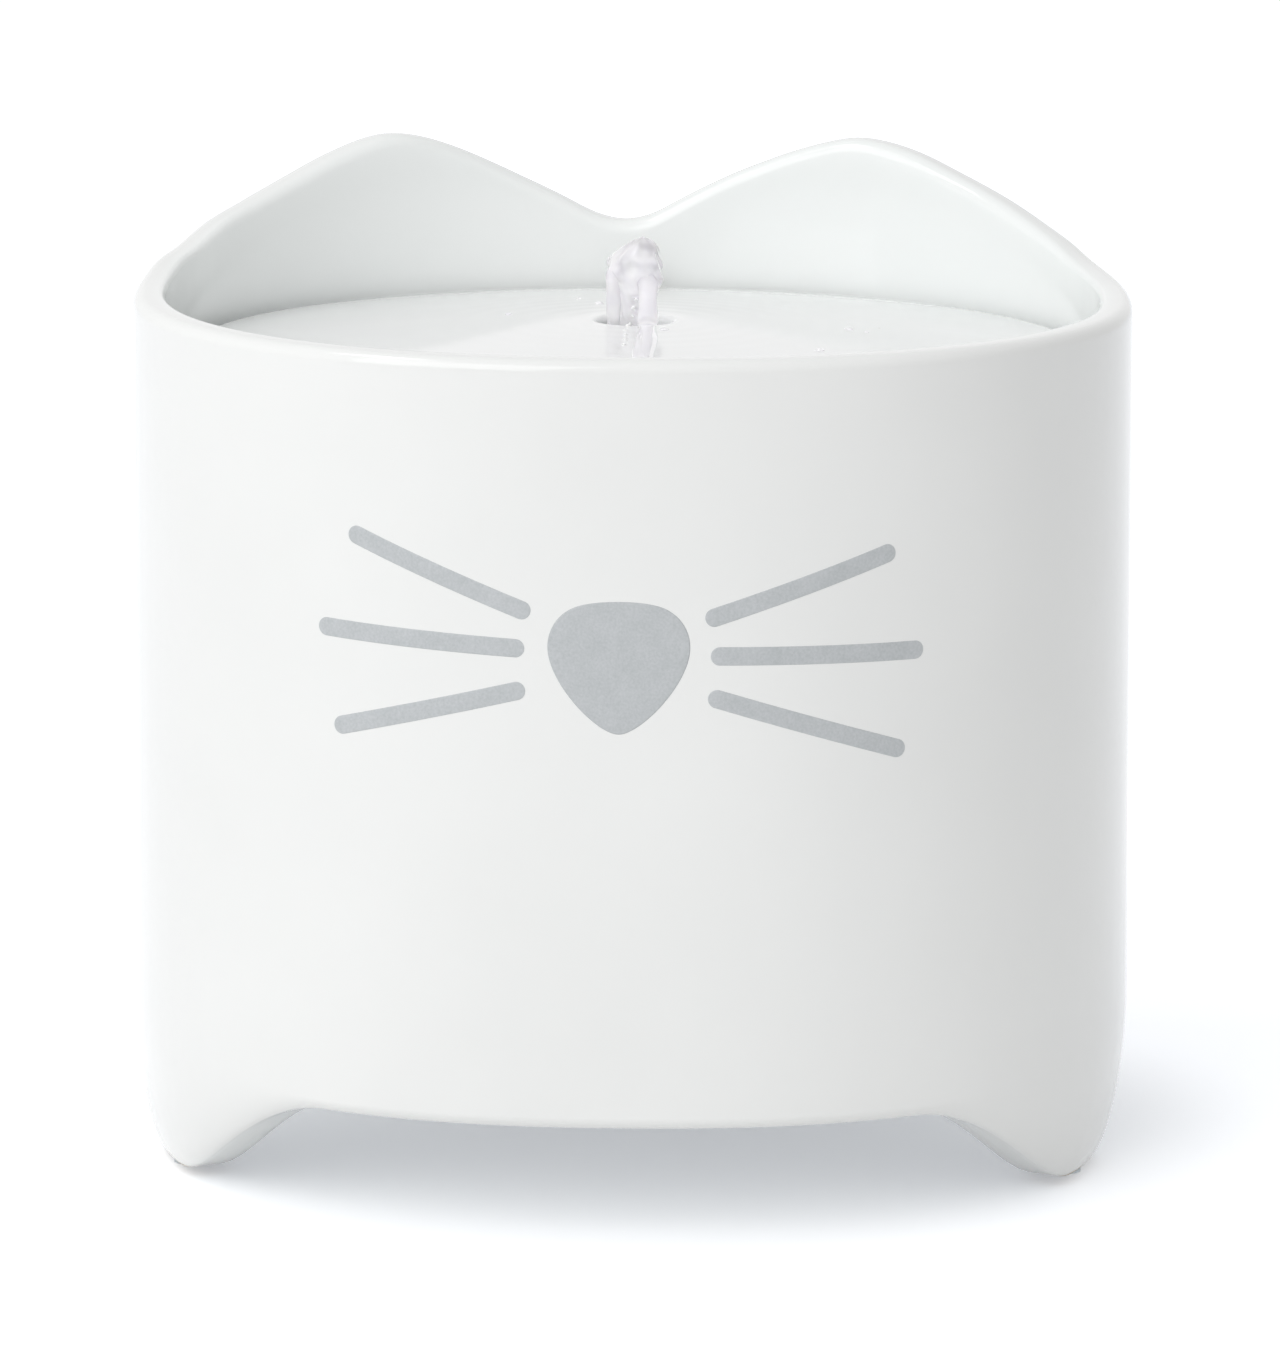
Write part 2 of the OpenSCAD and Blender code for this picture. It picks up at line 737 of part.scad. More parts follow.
// The tray stands on the case's edge, and a lip under its deck keeps it in the middle
module filter_tray() {
    under = deck_z - deck_t;
    lip_out = case_wall_in - lift_gap;
    lip_in = lip_out - case_wall;
    color("#f0f1f1")
        difference() {
            rotate_extrude($fn = 96)
                polygon([
                    [collar_in, under], [lip_in, under], [lip_in, under - tray_lip],
                    [lip_out, under - tray_lip], [lip_out, under], [case_d / 2, under],
                    [case_d / 2, deck_z + tray_h], [case_wall_in, deck_z + tray_h],
                    [case_wall_in, deck_z], [collar_out, deck_z],
                    [collar_out, deck_z + cartridge_h], [collar_in, deck_z + cartridge_h]
                ]);
            for (i = [0:deck_holes - 1])
                rotate([0, 0, (i + 0.5) * 360 / deck_holes])
                    translate([(cartridge_in + cartridge_out) / 2, 0, deck_z - deck_t - 1])
                        cylinder(d = deck_hole_d, h = deck_t + 2);
        }
}

module foam_ring() {
    color("#5b6166")
        difference() {
            ring(case_wall_in - lift_gap, case_wall_in - lift_gap - foam_t, floor_z, slot_h + 10);
            lead_way(floor_z, notch_w);
        }
}

module fleece_lower() {
    color("#f3f4f4")
        ring(cartridge_out, cartridge_in, cartridge_z, fleece_t);
}

module carbon_bed() {
    color("#26282a")
        ring(cartridge_out, cartridge_in, cartridge_z + fleece_t, carbon_t);
}

module fleece_upper() {
    color("#f3f4f4")
        ring(cartridge_out, cartridge_in, cartridge_z + fleece_t + carbon_t, fleece_t);
}

module filter_grid() {
    z = cartridge_z + cartridge_h + lift_gap;
    hub_r = collar_out + grid_bar / 2;
    span = cartridge_out - hub_r - grid_bar;
    color("#f0f1f1")
        union() {
            ring(hub_r, collar_in, z, grid_t);
            ring(cartridge_out, cartridge_out - grid_bar, z, grid_t);
            for (k = [1:grid_rings])
                ring(hub_r + span * k / (grid_rings + 1) + grid_bar / 2,
                    hub_r + span * k / (grid_rings + 1) - grid_bar / 2, z, grid_t);
            for (i = [0:grid_spokes - 1])
                rotate([0, 0, i * 360 / grid_spokes])
                    translate([hub_r - 0.5, -grid_bar / 2, z])
                        cube([cartridge_out - hub_r - 0.5, grid_bar, grid_t]);
        }
}

bowl();
foot_pad_left();
foot_pad_right();
foot_pad_back();
plate();
riser_tube();
riser_sleeve();
riser_adapter();
filter_case();
filter_tray();
foam_ring();
carbon_bed();
fleece_lower();
fleece_upper();
filter_grid();
pump_body();
pump_cover();
rear_bush();
front_bush();
shaft();
rotor_magnet();
impeller();
flow_slide();
motor_core();
motor_coil();
lead_gland();
suction_cup_1();
suction_cup_2();
suction_cup_3();
suction_cup_4();
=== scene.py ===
# %% [markdown]
# # A ceramic pet water fountain
# The object is a glazed bowl on three feet. Its rim rises into two ears at the back. A domed
# plate lies on a ledge inside, and a small pump under it lets water well up through the plate.
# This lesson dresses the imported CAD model: it builds the bowl and the plate again as smooth
# surfaces, draws the printed nose and whiskers, pours the water and finishes every piece.

import json

import bpy
import numpy as np
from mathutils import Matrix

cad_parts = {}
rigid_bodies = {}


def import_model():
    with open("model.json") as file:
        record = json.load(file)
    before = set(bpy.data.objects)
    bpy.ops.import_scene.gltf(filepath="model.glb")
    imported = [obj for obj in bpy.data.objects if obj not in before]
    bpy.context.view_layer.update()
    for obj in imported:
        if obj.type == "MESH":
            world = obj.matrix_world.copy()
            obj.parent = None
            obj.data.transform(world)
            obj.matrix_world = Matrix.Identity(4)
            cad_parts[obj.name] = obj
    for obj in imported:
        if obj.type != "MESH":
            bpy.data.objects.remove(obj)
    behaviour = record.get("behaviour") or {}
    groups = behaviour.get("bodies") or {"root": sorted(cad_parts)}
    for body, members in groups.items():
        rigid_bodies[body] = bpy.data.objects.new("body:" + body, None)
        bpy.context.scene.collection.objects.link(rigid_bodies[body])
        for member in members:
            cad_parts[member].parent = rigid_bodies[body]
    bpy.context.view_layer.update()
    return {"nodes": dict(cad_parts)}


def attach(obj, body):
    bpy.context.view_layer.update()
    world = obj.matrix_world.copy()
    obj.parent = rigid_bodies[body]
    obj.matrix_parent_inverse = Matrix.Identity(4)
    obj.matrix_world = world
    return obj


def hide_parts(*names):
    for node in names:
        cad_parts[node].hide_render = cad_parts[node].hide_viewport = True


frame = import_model()

# %% [markdown]
# ## Sizes
# A potter thinks in millimetres, and Blender in metres. All sizes below are in millimetres, and
# the mesh function at the end of each shape turns them to metres. They are the same sizes that
# the solids have, so that each surface lies where its solid is. Only the fired rim departs from
# its solid, by up to 1.4 mm, because clay warps a little as it dries.

# %% Sizes of the bowl and the plate
MM = 0.001
HALF = 100.0            # half the width, and half the depth
SQUARE = 2.3            # exponent of the outline: 2 is a circle
RIM = 174.0             # height of the rim
WALL = 6.5              # thickness of the wall at the rim
LIP_IN, LIP_BACK = 1.4, 3.0  # radius of the rim's inner edge, in front and at the back
LIP_OUT = 2.6           # radius of its outer edge
WALL_LOW = 9.0          # thickness below the ledge
FLOOR = 30.2            # height of the floor inside
FILLET = 10.0           # radius between floor and wall
BELLY = 23.2            # height of the underside
BELLY_HOLLOW = 2.0      # how much higher its middle is
LEDGE = 153.0           # height of the ledge's top
LEDGE_IN = 14.5         # how far the ledge comes in from the outside
LEDGE_SLOPE = 16.0      # the slope under the ledge starts this far below its top
LEDGE_BAND = 5.5        # and ends this far below it
LEDGE_EDGE = 1.2        # radius of the ledge's edge
LEDGE_CORNER = 1.5      # radius between the ledge and the wall above it
PAD = 1.2               # thickness of the pads under the feet
PLATE_TOP = 166.2       # height of the plate's middle
PLATE_EDGE = 158.8      # height of its dome at this radius:
PLATE_SPAN = 95.5
PLATE_INSET = 9.5       # how far its edge lies from the outside of the bowl
PLATE_T = 3.2           # its thickness
OUTLET_R = 7.5          # radius of the hole in its middle
MOUTH_R = 1.4           # radius round the mouth of that hole
print("the wall is", WALL, "mm thick, the drain gap", PLATE_INSET - WALL, "mm wide")

# %% [markdown]
# ## Two helpers
# Every new piece is a grid of points, so one function turns a grid to a mesh. A grid closes on
# itself round the piece, and it can close along the piece too. A ring that has shrunk to a point
# gives triangles of no area, so doubled points are merged and such faces are dropped.

# %% Grid to mesh
def piece_from_grid(name, points, body, along=False):
    """points is an array of rows of points in millimetres. A quad joins each point with the
    next in its row and the two beside them in the next row. Rows close on themselves, and the
    last row joins the first if along is true."""
    rows, columns = points.shape[:2]
    i = np.arange(rows if along else rows - 1)[:, None]
    j = np.arange(columns)[None, :]
    a = i * columns + j
    b = i * columns + (j + 1) % columns
    c = ((i + 1) % rows) * columns + (j + 1) % columns
    d = ((i + 1) % rows) * columns + j
    faces = np.stack([a, b, c, d], -1).reshape(-1, 4)
    flat = np.round(points.reshape(-1, 3) * MM, 8)
    kept, index = np.unique(flat, axis=0, return_inverse=True)
    return mesh_piece(name, kept, index.reshape(-1)[faces], body)


def mesh_piece(name, vertices, quads, body):
    """Faces with two corners in one place become triangles, and narrower ones are dropped. The
    piece rides on its body."""
    doubled = quads == np.roll(quads, -1, 1)
    once = doubled.sum(1) == 1
    faces = quads[~doubled.any(1)].tolist()
    faces += quads[once][~doubled[once]].reshape(-1, 3).tolist()
    mesh = bpy.data.meshes.new(name)
    mesh.from_pydata(vertices.tolist(), [], faces)
    mesh.polygons.foreach_set("use_smooth", np.full(len(faces), True))
    mesh.validate()
    piece = bpy.data.objects.new(name, mesh)
    bpy.context.scene.collection.objects.link(piece)
    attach(piece, body)
    print(name, "has", len(vertices), "points and", len(faces), "faces")
    return piece


# %% [markdown]
# ## The outline
# Seen from above, the bowl is between a circle and a square with very round corners. Such an
# outline is a superellipse. It is used here in its polar form, so that a direction gives a
# radius at once. Where a foot starts or a lip gets wider, a ramp with soft ends is used, so that
# glaze seems to have run over every join.

# %% Outline as a function of a direction, and soft ramps
def reach(turn):
    """The outline's radius over half its width: 1 over the n-th root of |cos|^n + |sin|^n."""
    return (np.abs(np.cos(turn)) ** SQUARE + np.abs(np.sin(turn)) ** SQUARE) ** (-1 / SQUARE)


def ease(x):
    """Three times the square less twice the cube, from 0 to 1: a ramp with soft ends."""
    x = np.clip(x, 0, 1)
    return x * x * (3 - 2 * x)


def apart(turn, middle):
    """The angle in degrees between a direction and a middle, from 0 to 180."""
    return np.abs((np.degrees(turn) - middle + 540) % 360 - 180)


def soft_min(a, b, k):
    """Half of a plus b, less half the root of (a - b)^2 + k^2: a minimum with a round corner."""
    return (a + b - np.sqrt((a - b) ** 2 + k * k)) / 2


print("the outline reaches", round(float(reach(np.pi / 4)), 3), "of half the width on its corners")

# %% [markdown]
# ## The ears
# An ear has a straight flank up from the valley at the back, a blunt peak, and a straight flank
# down to the side. A softened minimum of two straight lines gives just that. Both ears sit a
# little to the left of the middle of the back. Clay warps as it dries, so the rim is then moved
# up or down, by 1.4 mm at most, along a smooth curve through a few points.

# %% Ears
def through(x, y, at):
    """A smooth curve through a few points: on each span a cubic that has, at its ends, the
    slopes that the neighbouring points give."""
    slope = np.gradient(y, x)
    k = np.clip(np.searchsorted(x, at) - 1, 0, len(x) - 2)
    h = x[k + 1] - x[k]
    s = (at - x[k]) / h
    return (y[k] * (1 + 2 * s) * (1 - s) ** 2 + slope[k] * h * s * (1 - s) ** 2
            + y[k + 1] * s * s * (3 - 2 * s) + slope[k + 1] * h * s * s * (s - 1))


# The warp of the rim: degrees of direction, and mm off the drawn height.
WARP = np.array([
    (-90, 0), (-45, 0), (-30, -0.3), (-15, -0.8), (0, -1.2), (8, -1.3), (15, -1.1), (22, -0.5),
    (29, 0.4), (36, 0), (43, 0), (50, 0.1), (56, 0.6), (62, 0.3), (68, -0.6), (74, -0.1),
    (80, 0.6), (86, 0.4), (90, -0.4), (93, -0.6), (96, -0.1), (100, 0.7), (106, 0.8),
    (112, 0.7), (118, 0.5), (124, 0.8), (130, 0.3), (137, -0.4), (144, -0.2), (151, 0.9),
    (158, 1.4), (165, 1.4), (172, 0.4), (180, 0), (190, 0), (270, 0)], float)

EAR_H = 17.5            # height of the ears above the rim, in mm
EAR_ANGLE = 28.5        # from the middle between the ears to a peak, in degrees
EAR_REACH = 66.6        # from that middle to where an ear runs out
EAR_BLUNT = 0.5         # how blunt the peak is
VALLEY = 3.0            # how wide the round valley is, in degrees
EAR_TURN = 3.0          # how far that middle is turned from the back to the left
# A softened minimum lies below its two lines, and its peak a little outwards of where they
# meet. So the flanks meet nearer to the back and higher up than the blunt peak that they give.
ear_round = EAR_BLUNT * EAR_H
flanks_meet = 0.95 * EAR_ANGLE
flank_top = 1.06 * EAR_H + 0.485 * ear_round
inner_slope = flank_top / (np.hypot(flanks_meet, VALLEY) - VALLEY)
outer_slope = flank_top / (EAR_REACH - flanks_meet)
run_out = 0.12 * EAR_H  # how softly an ear runs out into the level rim


def ear(turn):
    """Height of the rim above its level part. Two straight flanks, one up from the valley at
    the back and one down to the side, meet in a blunt peak and run out softly."""
    u = apart(turn, 90 + EAR_TURN)
    inner = inner_slope * (np.hypot(u, VALLEY) - VALLEY)
    outer = outer_slope * (EAR_REACH - u)
    height = soft_min(inner, outer, ear_round)
    drawn_rim = -soft_min(0, -height, run_out) - run_out / 2
    return drawn_rim + through(*WARP.T, (np.degrees(turn) + 90) % 360 - 90)


print("ear peak", round(float(ear(np.radians(90 + EAR_TURN - EAR_ANGLE))), 2), "mm above the rim")

# %% [markdown]
# ## The feet
# The wall itself runs down into three feet, two in front and one at the back. So a foot is no
# piece of its own: it is a share from 0 to 1 that says, for each direction, how much of a foot
# there is, and the bottom edge, its inset and its roundness all follow that share.

# %% Feet
FOOT_AT = (180 + 20, 360 - 20, 90)  # the middle of each foot, in degrees
FOOT_SPREAD = 36.0      # half of a foot's width where it leaves the bowl, in degrees
FOOT_FLAT_A = 4.0       # half of its flat bottom's width, in degrees
FOOT_H = 22.0           # clearance under the bowl between the feet, in mm
FOOT_INSET = 6.0        # how far the outside draws in at a foot
FOOT_RISE = 32.0        # over which height it does
FOOT_FLAT = 6.0         # depth of the flat bottom
FOOT_SLOPE = 23.0       # depth of the slope behind it
EDGE = 2.5              # radius of the bottom edge between the feet


def foot(turn):
    """Share of a foot in a direction: 1 at its middle, and 0 away from it."""
    spread = FOOT_SPREAD - FOOT_FLAT_A
    return np.max([1 - ease((apart(turn, middle) - FOOT_FLAT_A) / spread)
                   for middle in FOOT_AT], 0)


print("a foot has half its height", FOOT_FLAT_A + (FOOT_SPREAD - FOOT_FLAT_A) / 2,
      "degrees from its middle")

# %% [markdown]
# ## The bowl
# The real bowl is cast in one piece, and glaze rounds all its edges. It is made as one closed
# surface: a row of rings that starts in the middle of the floor inside, climbs the wall, passes
# over ledge and lip, runs down the outside and ends in the middle of the underside. A ring is
# given by how far it lies inside the outline and how high it is, each in every direction. As it
# was fired, the bowl settled a little inwards at the right of its rim.

# %% What changes with the direction
turns = np.radians(np.arange(0, 360, 0.9))
share = foot(turns)
draw_in = EDGE + (FOOT_INSET - EDGE) * share
draw_up = EDGE + (FOOT_RISE - EDGE) * share
bottom = PAD + FOOT_H * (1 - share)
LEAD_GAP, LEAD_GAP_END = 4.6, 7.8  # the ledge's gap at the back, in degrees each way
LIP_FROM, LIP_TO = 35, 75          # the lip gets narrower between these, seen from the back
gap_here = 1 - ease((apart(turns, 90) - LEAD_GAP) / (LEAD_GAP_END - LEAD_GAP))
ledge_in = LEDGE_IN - (LEDGE_IN - WALL_LOW) * gap_here
lip_in = LIP_BACK + (LIP_IN - LIP_BACK) * ease((apart(turns, 90) - LIP_FROM) / (LIP_TO - LIP_FROM))
top = RIM + ear(turns)
level = np.ones_like(turns)
print("rim between", round(float(top.min()), 1), "and", round(float(top.max()), 1), "mm high")


# %% Rings of the bowl
def ring(inset, height):
    """Points in all directions at the outline's radius less the inset, and at a height."""
    radius = (HALF - inset) * reach(turns)
    return np.stack([radius * np.cos(turns), radius * np.sin(turns), height * level], -1)


def ramp(start, end, count):
    """Evenly spaced values, both ends included."""
    return np.linspace(start, end, count)


def bend(inset, height, wide, high, start, end, count):
    """Rings along a part of an ellipse, after its first point: the centre's inset and height,
    plus its half width times the cosine and its half height times the sine of an angle."""
    return [ring(inset + wide * np.cos(a), height + high * np.sin(a))
            for a in np.radians(ramp(start, end, count))[1:]]


def bowl_rings():
    """Rings from the middle inside to the middle underneath. Corners are quarter circles, tight
    inside the rim and wide outside it; the outside draws in to the feet along a quarter of an
    ellipse."""
    rings = [ring(inset, FLOOR) for inset in ramp(HALF, WALL_LOW + FILLET, 14)]
    rings += bend(WALL_LOW + FILLET, FLOOR + FILLET, FILLET, FILLET, -90, -180, 9)
    rings += [ring(WALL_LOW, z) for z in ramp(FLOOR + FILLET, LEDGE - LEDGE_SLOPE, 8)[1:]]
    rings += [ring(WALL_LOW + (ledge_in - WALL_LOW) * ease(s),
                   LEDGE - LEDGE_SLOPE + (LEDGE_SLOPE - LEDGE_BAND) * s)
              for s in ramp(0, 1, 9)[1:]]
    rings += [ring(ledge_in, z) for z in (LEDGE - 3, LEDGE - LEDGE_EDGE)]
    rings += bend(ledge_in - LEDGE_EDGE, LEDGE - LEDGE_EDGE, LEDGE_EDGE, LEDGE_EDGE, 0, 90, 6)
    start = LEDGE + LEDGE_CORNER
    rings += [ring(WALL + LEDGE_CORNER, LEDGE)]
    rings += bend(WALL + LEDGE_CORNER, start, LEDGE_CORNER, LEDGE_CORNER, -90, -180, 6)
    rings += [ring(WALL, start + (top - lip_in - start) * s) for s in ramp(0, 1, 9)[1:]]
    rings += bend(WALL - lip_in, top - lip_in, lip_in, lip_in, 0, 90, 11)
    rings += [ring(LIP_OUT, top)]
    rings += bend(LIP_OUT, top - LIP_OUT, LIP_OUT, LIP_OUT, 90, 180, 13)
    side, shoulder = top - LIP_OUT, bottom + draw_up
    rings += [ring(0, side + (shoulder - side) * s) for s in ramp(0, 1, 28)[1:]]
    rings += bend(draw_in, shoulder, draw_in, draw_up, 180, 270, 22)
    rings += [ring(draw_in + FOOT_FLAT * s, bottom) for s in ramp(0, 1, 5)[1:]]
    behind = draw_in + FOOT_FLAT
    rings += [ring(behind + FOOT_SLOPE * s, bottom + (BELLY - bottom) * ease(s))
              for s in ramp(0, 1, 18)[1:]]
    behind = behind + FOOT_SLOPE
    rings += [ring(behind + (HALF - behind) * s, BELLY + BELLY_HOLLOW * ease(s))
              for s in ramp(0, 1, 12)[1:]]
    return np.array(rings)


# %% Settling, and the bowl's mesh
SETTLED, SETTLED_FROM = 0.7, 40.0  # how far the rim leans in at the right, and from which height


def settled(points):
    """x loses the lean, times the share of the way to the right side, times the share of the
    way up to the rim."""
    rightwards = np.clip(points[..., 0] / HALF, 0, 1)
    upwards = np.clip((points[..., 2] - SETTLED_FROM) / (RIM - SETTLED_FROM), 0, 1.2)
    return points - (SETTLED * rightwards * upwards)[..., None] * (1, 0, 0)


bowl_points = settled(bowl_rings())[:, ::-1]
bowl_glazed = piece_from_grid("bowl_glazed", bowl_points, "base")
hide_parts("bowl")

# %% [markdown]
# ## The drinking plate
# The plate is a shallow dome of the same ceramic, loose in the bowl. A tube hangs from its
# middle, in which the riser's sleeve slides, and six studs keep it off the ledge, so that
# water runs back all round. One closed surface runs from the mouth of the outlet over the dome,
# round the edge, back underneath and down the tube. At the back, a notch leaves room for a lead.

# %% The plate's surface
dome_rise = PLATE_TOP - PLATE_EDGE
DOME_R = (PLATE_SPAN ** 2 + dome_rise ** 2) / (2 * dome_rise)
SOCKET_R, SOCKET_END = 9.5, 149.0  # the tube's outside, and the height of its end
SOCKET_EDGE, ROOT_R = 0.6, 1.0     # radius of its end, and where it meets the plate
NOTCH_Y = 84.5                     # the notch's bottom, from the middle
NOTCH_FROM, NOTCH_TO = 2.5, 2.9    # its side lies between these, in degrees
plate_turns = np.unique(np.round(np.concatenate(
    [np.arange(0, 360, 1.2), np.arange(84, 96, 0.12)]), 3))
plate_turns = np.radians(plate_turns)


def dome(radius):
    """Height on a sphere that touches the plate's middle: its top less its sagitta."""
    return PLATE_TOP - DOME_R + np.sqrt(DOME_R ** 2 - radius ** 2)


def plate_edge(turn):
    """The outline less the inset. Within the notch it is the notch's straight bottom."""
    outside = (HALF - PLATE_INSET) * reach(turn)
    bottom = NOTCH_Y / np.maximum(np.sin(turn), 0.5)
    inside = 1 - ease((apart(turn, 90) - NOTCH_FROM) / (NOTCH_TO - NOTCH_FROM))
    return outside + (np.minimum(outside, bottom) - outside) * inside


def plate_ring(radius, height):
    """Points in all of the plate's directions, at a radius and a height."""
    radius = radius * np.ones_like(plate_turns)
    return np.stack([radius * np.cos(plate_turns), radius * np.sin(plate_turns),
                     height * np.ones_like(plate_turns)], -1)


def plate_rings():
    """Up the inside of the tube, a quarter circle round the mouth, a dome, a half circle of
    half the plate's thickness round its edge, the same dome underneath, and down the tube."""
    edge = plate_edge(plate_turns)
    inner, half = OUTLET_R + MOUTH_R, PLATE_T / 2
    rings = [plate_ring(OUTLET_R, z)
             for z in ramp(SOCKET_END + SOCKET_EDGE, PLATE_TOP - MOUTH_R, 8)]
    rings += [plate_ring(inner - MOUTH_R * np.cos(a), PLATE_TOP - MOUTH_R + MOUTH_R * np.sin(a))
              for a in ramp(0, np.pi / 2, 9)[1:]]
    for s in ramp(0, 1, 46)[1:]:
        radius = inner + (edge - half - inner) * s
        rings.append(plate_ring(radius, dome(radius) + (PLATE_TOP - dome(inner)) * (1 - s) ** 6))
    middle = dome(edge - half) - half
    rings += [plate_ring(edge - half + half * np.sin(a), middle + half * np.cos(a))
              for a in ramp(0, np.pi, 15)[1:]]
    for s in ramp(0, 1, 30)[1:]:
        radius = edge - half + (SOCKET_R + ROOT_R - edge + half) * s
        rings.append(plate_ring(radius, dome(radius) - PLATE_T))
    low = dome(SOCKET_R) - PLATE_T
    rings += [plate_ring(SOCKET_R + ROOT_R - ROOT_R * np.sin(a),
                         low - ROOT_R + ROOT_R * np.cos(a)) for a in ramp(0, np.pi / 2, 6)[1:]]
    rings += [plate_ring(SOCKET_R, z)
              for z in ramp(low - ROOT_R, SOCKET_END + SOCKET_EDGE, 6)[1:]]
    wall = (SOCKET_R - OUTLET_R) / 2
    rings += [plate_ring(SOCKET_R - wall + wall * np.cos(a),
                         SOCKET_END + SOCKET_EDGE - SOCKET_EDGE * np.sin(a))
              for a in ramp(0, np.pi, 9)[1:-1]]
    return np.array(rings)


plate_glazed = piece_from_grid("plate_glazed", plate_rings()[:, ::-1], "plate",
                               along=True)
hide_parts("plate")


# %% [markdown]
# ## Studs
# A stud is a small cone that the mould leaves under the plate, with a round foot. It is a
# profile turned about its own axis; six of them stand half a step from the back.

# %% Six studs
def turned(profile, centre, count=24):
    """A profile of radius and height, carried round a vertical axis through the centre."""
    around = ramp(0, 2 * np.pi, count + 1)[:-1]
    radius, height = profile[:, :1], profile[:, 1:]
    return np.stack([centre[0] + radius * np.cos(around), centre[1] + radius * np.sin(around),
                     height + 0 * around], -1)


def bowed(turn_power):
    """The outline's direction for an angle of its power form, as the solids count it."""
    c, s = np.cos(turn_power), np.sin(turn_power)
    return np.arctan2(np.sign(s) * abs(s) ** (2 / SQUARE), np.sign(c) * abs(c) ** (2 / SQUARE))


STUD_R, STUD_END = 2.5, LEDGE + 0.3  # radius, and a little play above the ledge
STUD_FOOT = 0.6                      # roundness of the foot
STUD_TALL, STUD_FLARE = 4.2, 0.4     # it reaches into the plate, and gets wider up there
STUD_INSET = PLATE_INSET + STUD_R
quarter = ramp(0, np.pi / 2, 7)
sole = np.stack([(STUD_R - STUD_FOOT) * np.sin(quarter),
                 STUD_END + STUD_FOOT - STUD_FOOT * np.cos(quarter)], -1)
flank = np.stack([STUD_R - STUD_FOOT * np.cos(quarter) ** 2, STUD_END + STUD_FOOT + quarter], -1)
stud_profile = np.concatenate([sole, flank, [[STUD_R + STUD_FLARE, STUD_END + STUD_TALL],
                                             [0, STUD_END + STUD_TALL]]])
for k in range(6):
    at = bowed(np.radians(90 + (k + 0.5) * 60))
    out = (HALF - STUD_INSET) * reach(at)
    stud = turned(stud_profile, (out * np.cos(at), out * np.sin(at)))
    piece_from_grid(f"plate_stud_{k + 1}", stud[::-1, ::-1], "plate")

# %% [markdown]
# ## Nose and whiskers
# The face is a transfer of matt silver-grey ink, fired on the glaze. Ink has a thickness of a few
# hundredths of a millimetre; a tenth is used, so that its edge catches light. Its outline is
# drawn flat, in millimetres along the wall and above the ground. Each point is then wrapped
# round the wall: its distance along the wall is turned to a direction by measuring the outline.

# %% Wrapping a flat drawing round the wall
INK_T, INK_EDGE = 0.1, 0.01  # how proud the ink is, and how proud it is at its edge
INK_BACK = -0.15             # its back lies inside the wall
fine = np.radians(np.linspace(270 - 60, 270 + 60, 4001))
trace = HALF * reach(fine)[:, None] * np.stack([np.cos(fine), np.sin(fine)], -1)
along_wall = np.concatenate([[0], np.cumsum(np.linalg.norm(np.diff(trace, axis=0), axis=1))])
along_wall -= along_wall[len(fine) // 2]
print("wall from 210 to 330 degrees:", round(along_wall[-1] - along_wall[0], 1), "mm")


def wrapped(flat, lift):
    """Points of a drawing (along, up) as points in space, lifted off the wall's outside."""
    at = np.interp(flat[..., 0], along_wall, fine)
    radius = (HALF + lift) * reach(at)
    return settled(np.stack([radius * np.cos(at), radius * np.sin(at), flat[..., 1]], -1))


def ink_patch(name, outline):
    """A closed drawn outline, filled from its middle: shares of the way from the middle to the
    outline give rings. The front lies off the wall and slopes to it at the outline, and the
    back lies inside it."""
    middle = outline.mean(0)
    share_out = np.concatenate([ramp(0, 0.9, 13), [0.95, 0.98, 1.0]])
    front = [wrapped(middle + (outline - middle) * s, INK_T * (1 - s ** 12) + INK_EDGE)
             for s in share_out]
    back = [wrapped(middle + (outline - middle) * s, INK_BACK) for s in ramp(1, 0, 9)]
    return piece_from_grid(name, np.array(front + back)[:, ::-1], "base")


print("ink is", round(INK_T + INK_EDGE, 2), "mm proud of the glaze")

# %% [markdown]
# ## The nose
# The nose is a triangle with bulging sides and wide round corners. Three circles sit in its
# corners, and a wide one between them gives the bulges; the outline is the farthest that any of
# the circles reaches in each direction. Softening that maximum rounds the joins.

# %% Nose
drawn = ramp(0, 2 * np.pi, 145)[:-1]


def soft_hull(circles, directions, power=13.7):
    """A hull of circles reaches, along a direction, as far as the farthest centre in that
    direction plus its radius. The root of the sum of high powers is a soft form of that
    farthest reach; its value and its slope give the outline's point for the direction."""
    def support(a):
        values = np.array([x * np.cos(a) + y * np.sin(a) + r for x, y, r in circles])
        return (values.clip(0.1) ** power).sum(0) ** (1 / power)
    step = 1e-4
    h = support(directions)
    slope = (support(directions + step) - support(directions - step)) / (2 * step)
    return np.stack([h * np.cos(directions) - slope * np.sin(directions),
                     h * np.sin(directions) + slope * np.cos(directions)], -1)


# Across, up and radius, from the nose's middle: two cheeks, the tip, and the wide one.
nose_circles = [(-5.5, 3.15, 8.15), (5.5, 3.15, 8.15), (0, -11.7, 2.0), (0, -1.75, 10.2)]
NOSE_AT = (-0.1, 114.75)  # along the wall and above the ground
nose = soft_hull(nose_circles, drawn) + NOSE_AT
ink_patch("nose", nose)
print("nose:", np.round(np.ptp(nose, axis=0), 1), "mm wide and high")

# %% [markdown]
# ## Six whiskers
# A whisker is a straight bar with round ends. It is a flat section carried from one end to the
# other: half as wide as a circle is at the ends, full width between them, and raised like a
# pillow that is nearly flat on top.

# %% Whiskers
WHISKER_R = 1.8                          # half its width
WHISKER_LIFT, WHISKER_SUNK = 0.13, 0.02  # half its thickness, and how deep its middle lies
# The centres of a whisker's two round ends, along the wall and above the ground.
whisker_ends = {
    "left_upper": ((-52.0, 137.5), (-18.8, 124.7)),
    "left_middle": ((-58.7, 119.1), (-20.0, 117.3)),
    "left_lower": ((-55.2, 100.2), (-19.8, 109.0)),
    "right_upper": ((18.2, 123.6), (52.5, 134.8)),
    "right_middle": ((19.3, 116.1), (58.7, 115.6)),
    "right_lower": ((18.8, 107.8), (54.8, 96.7))}


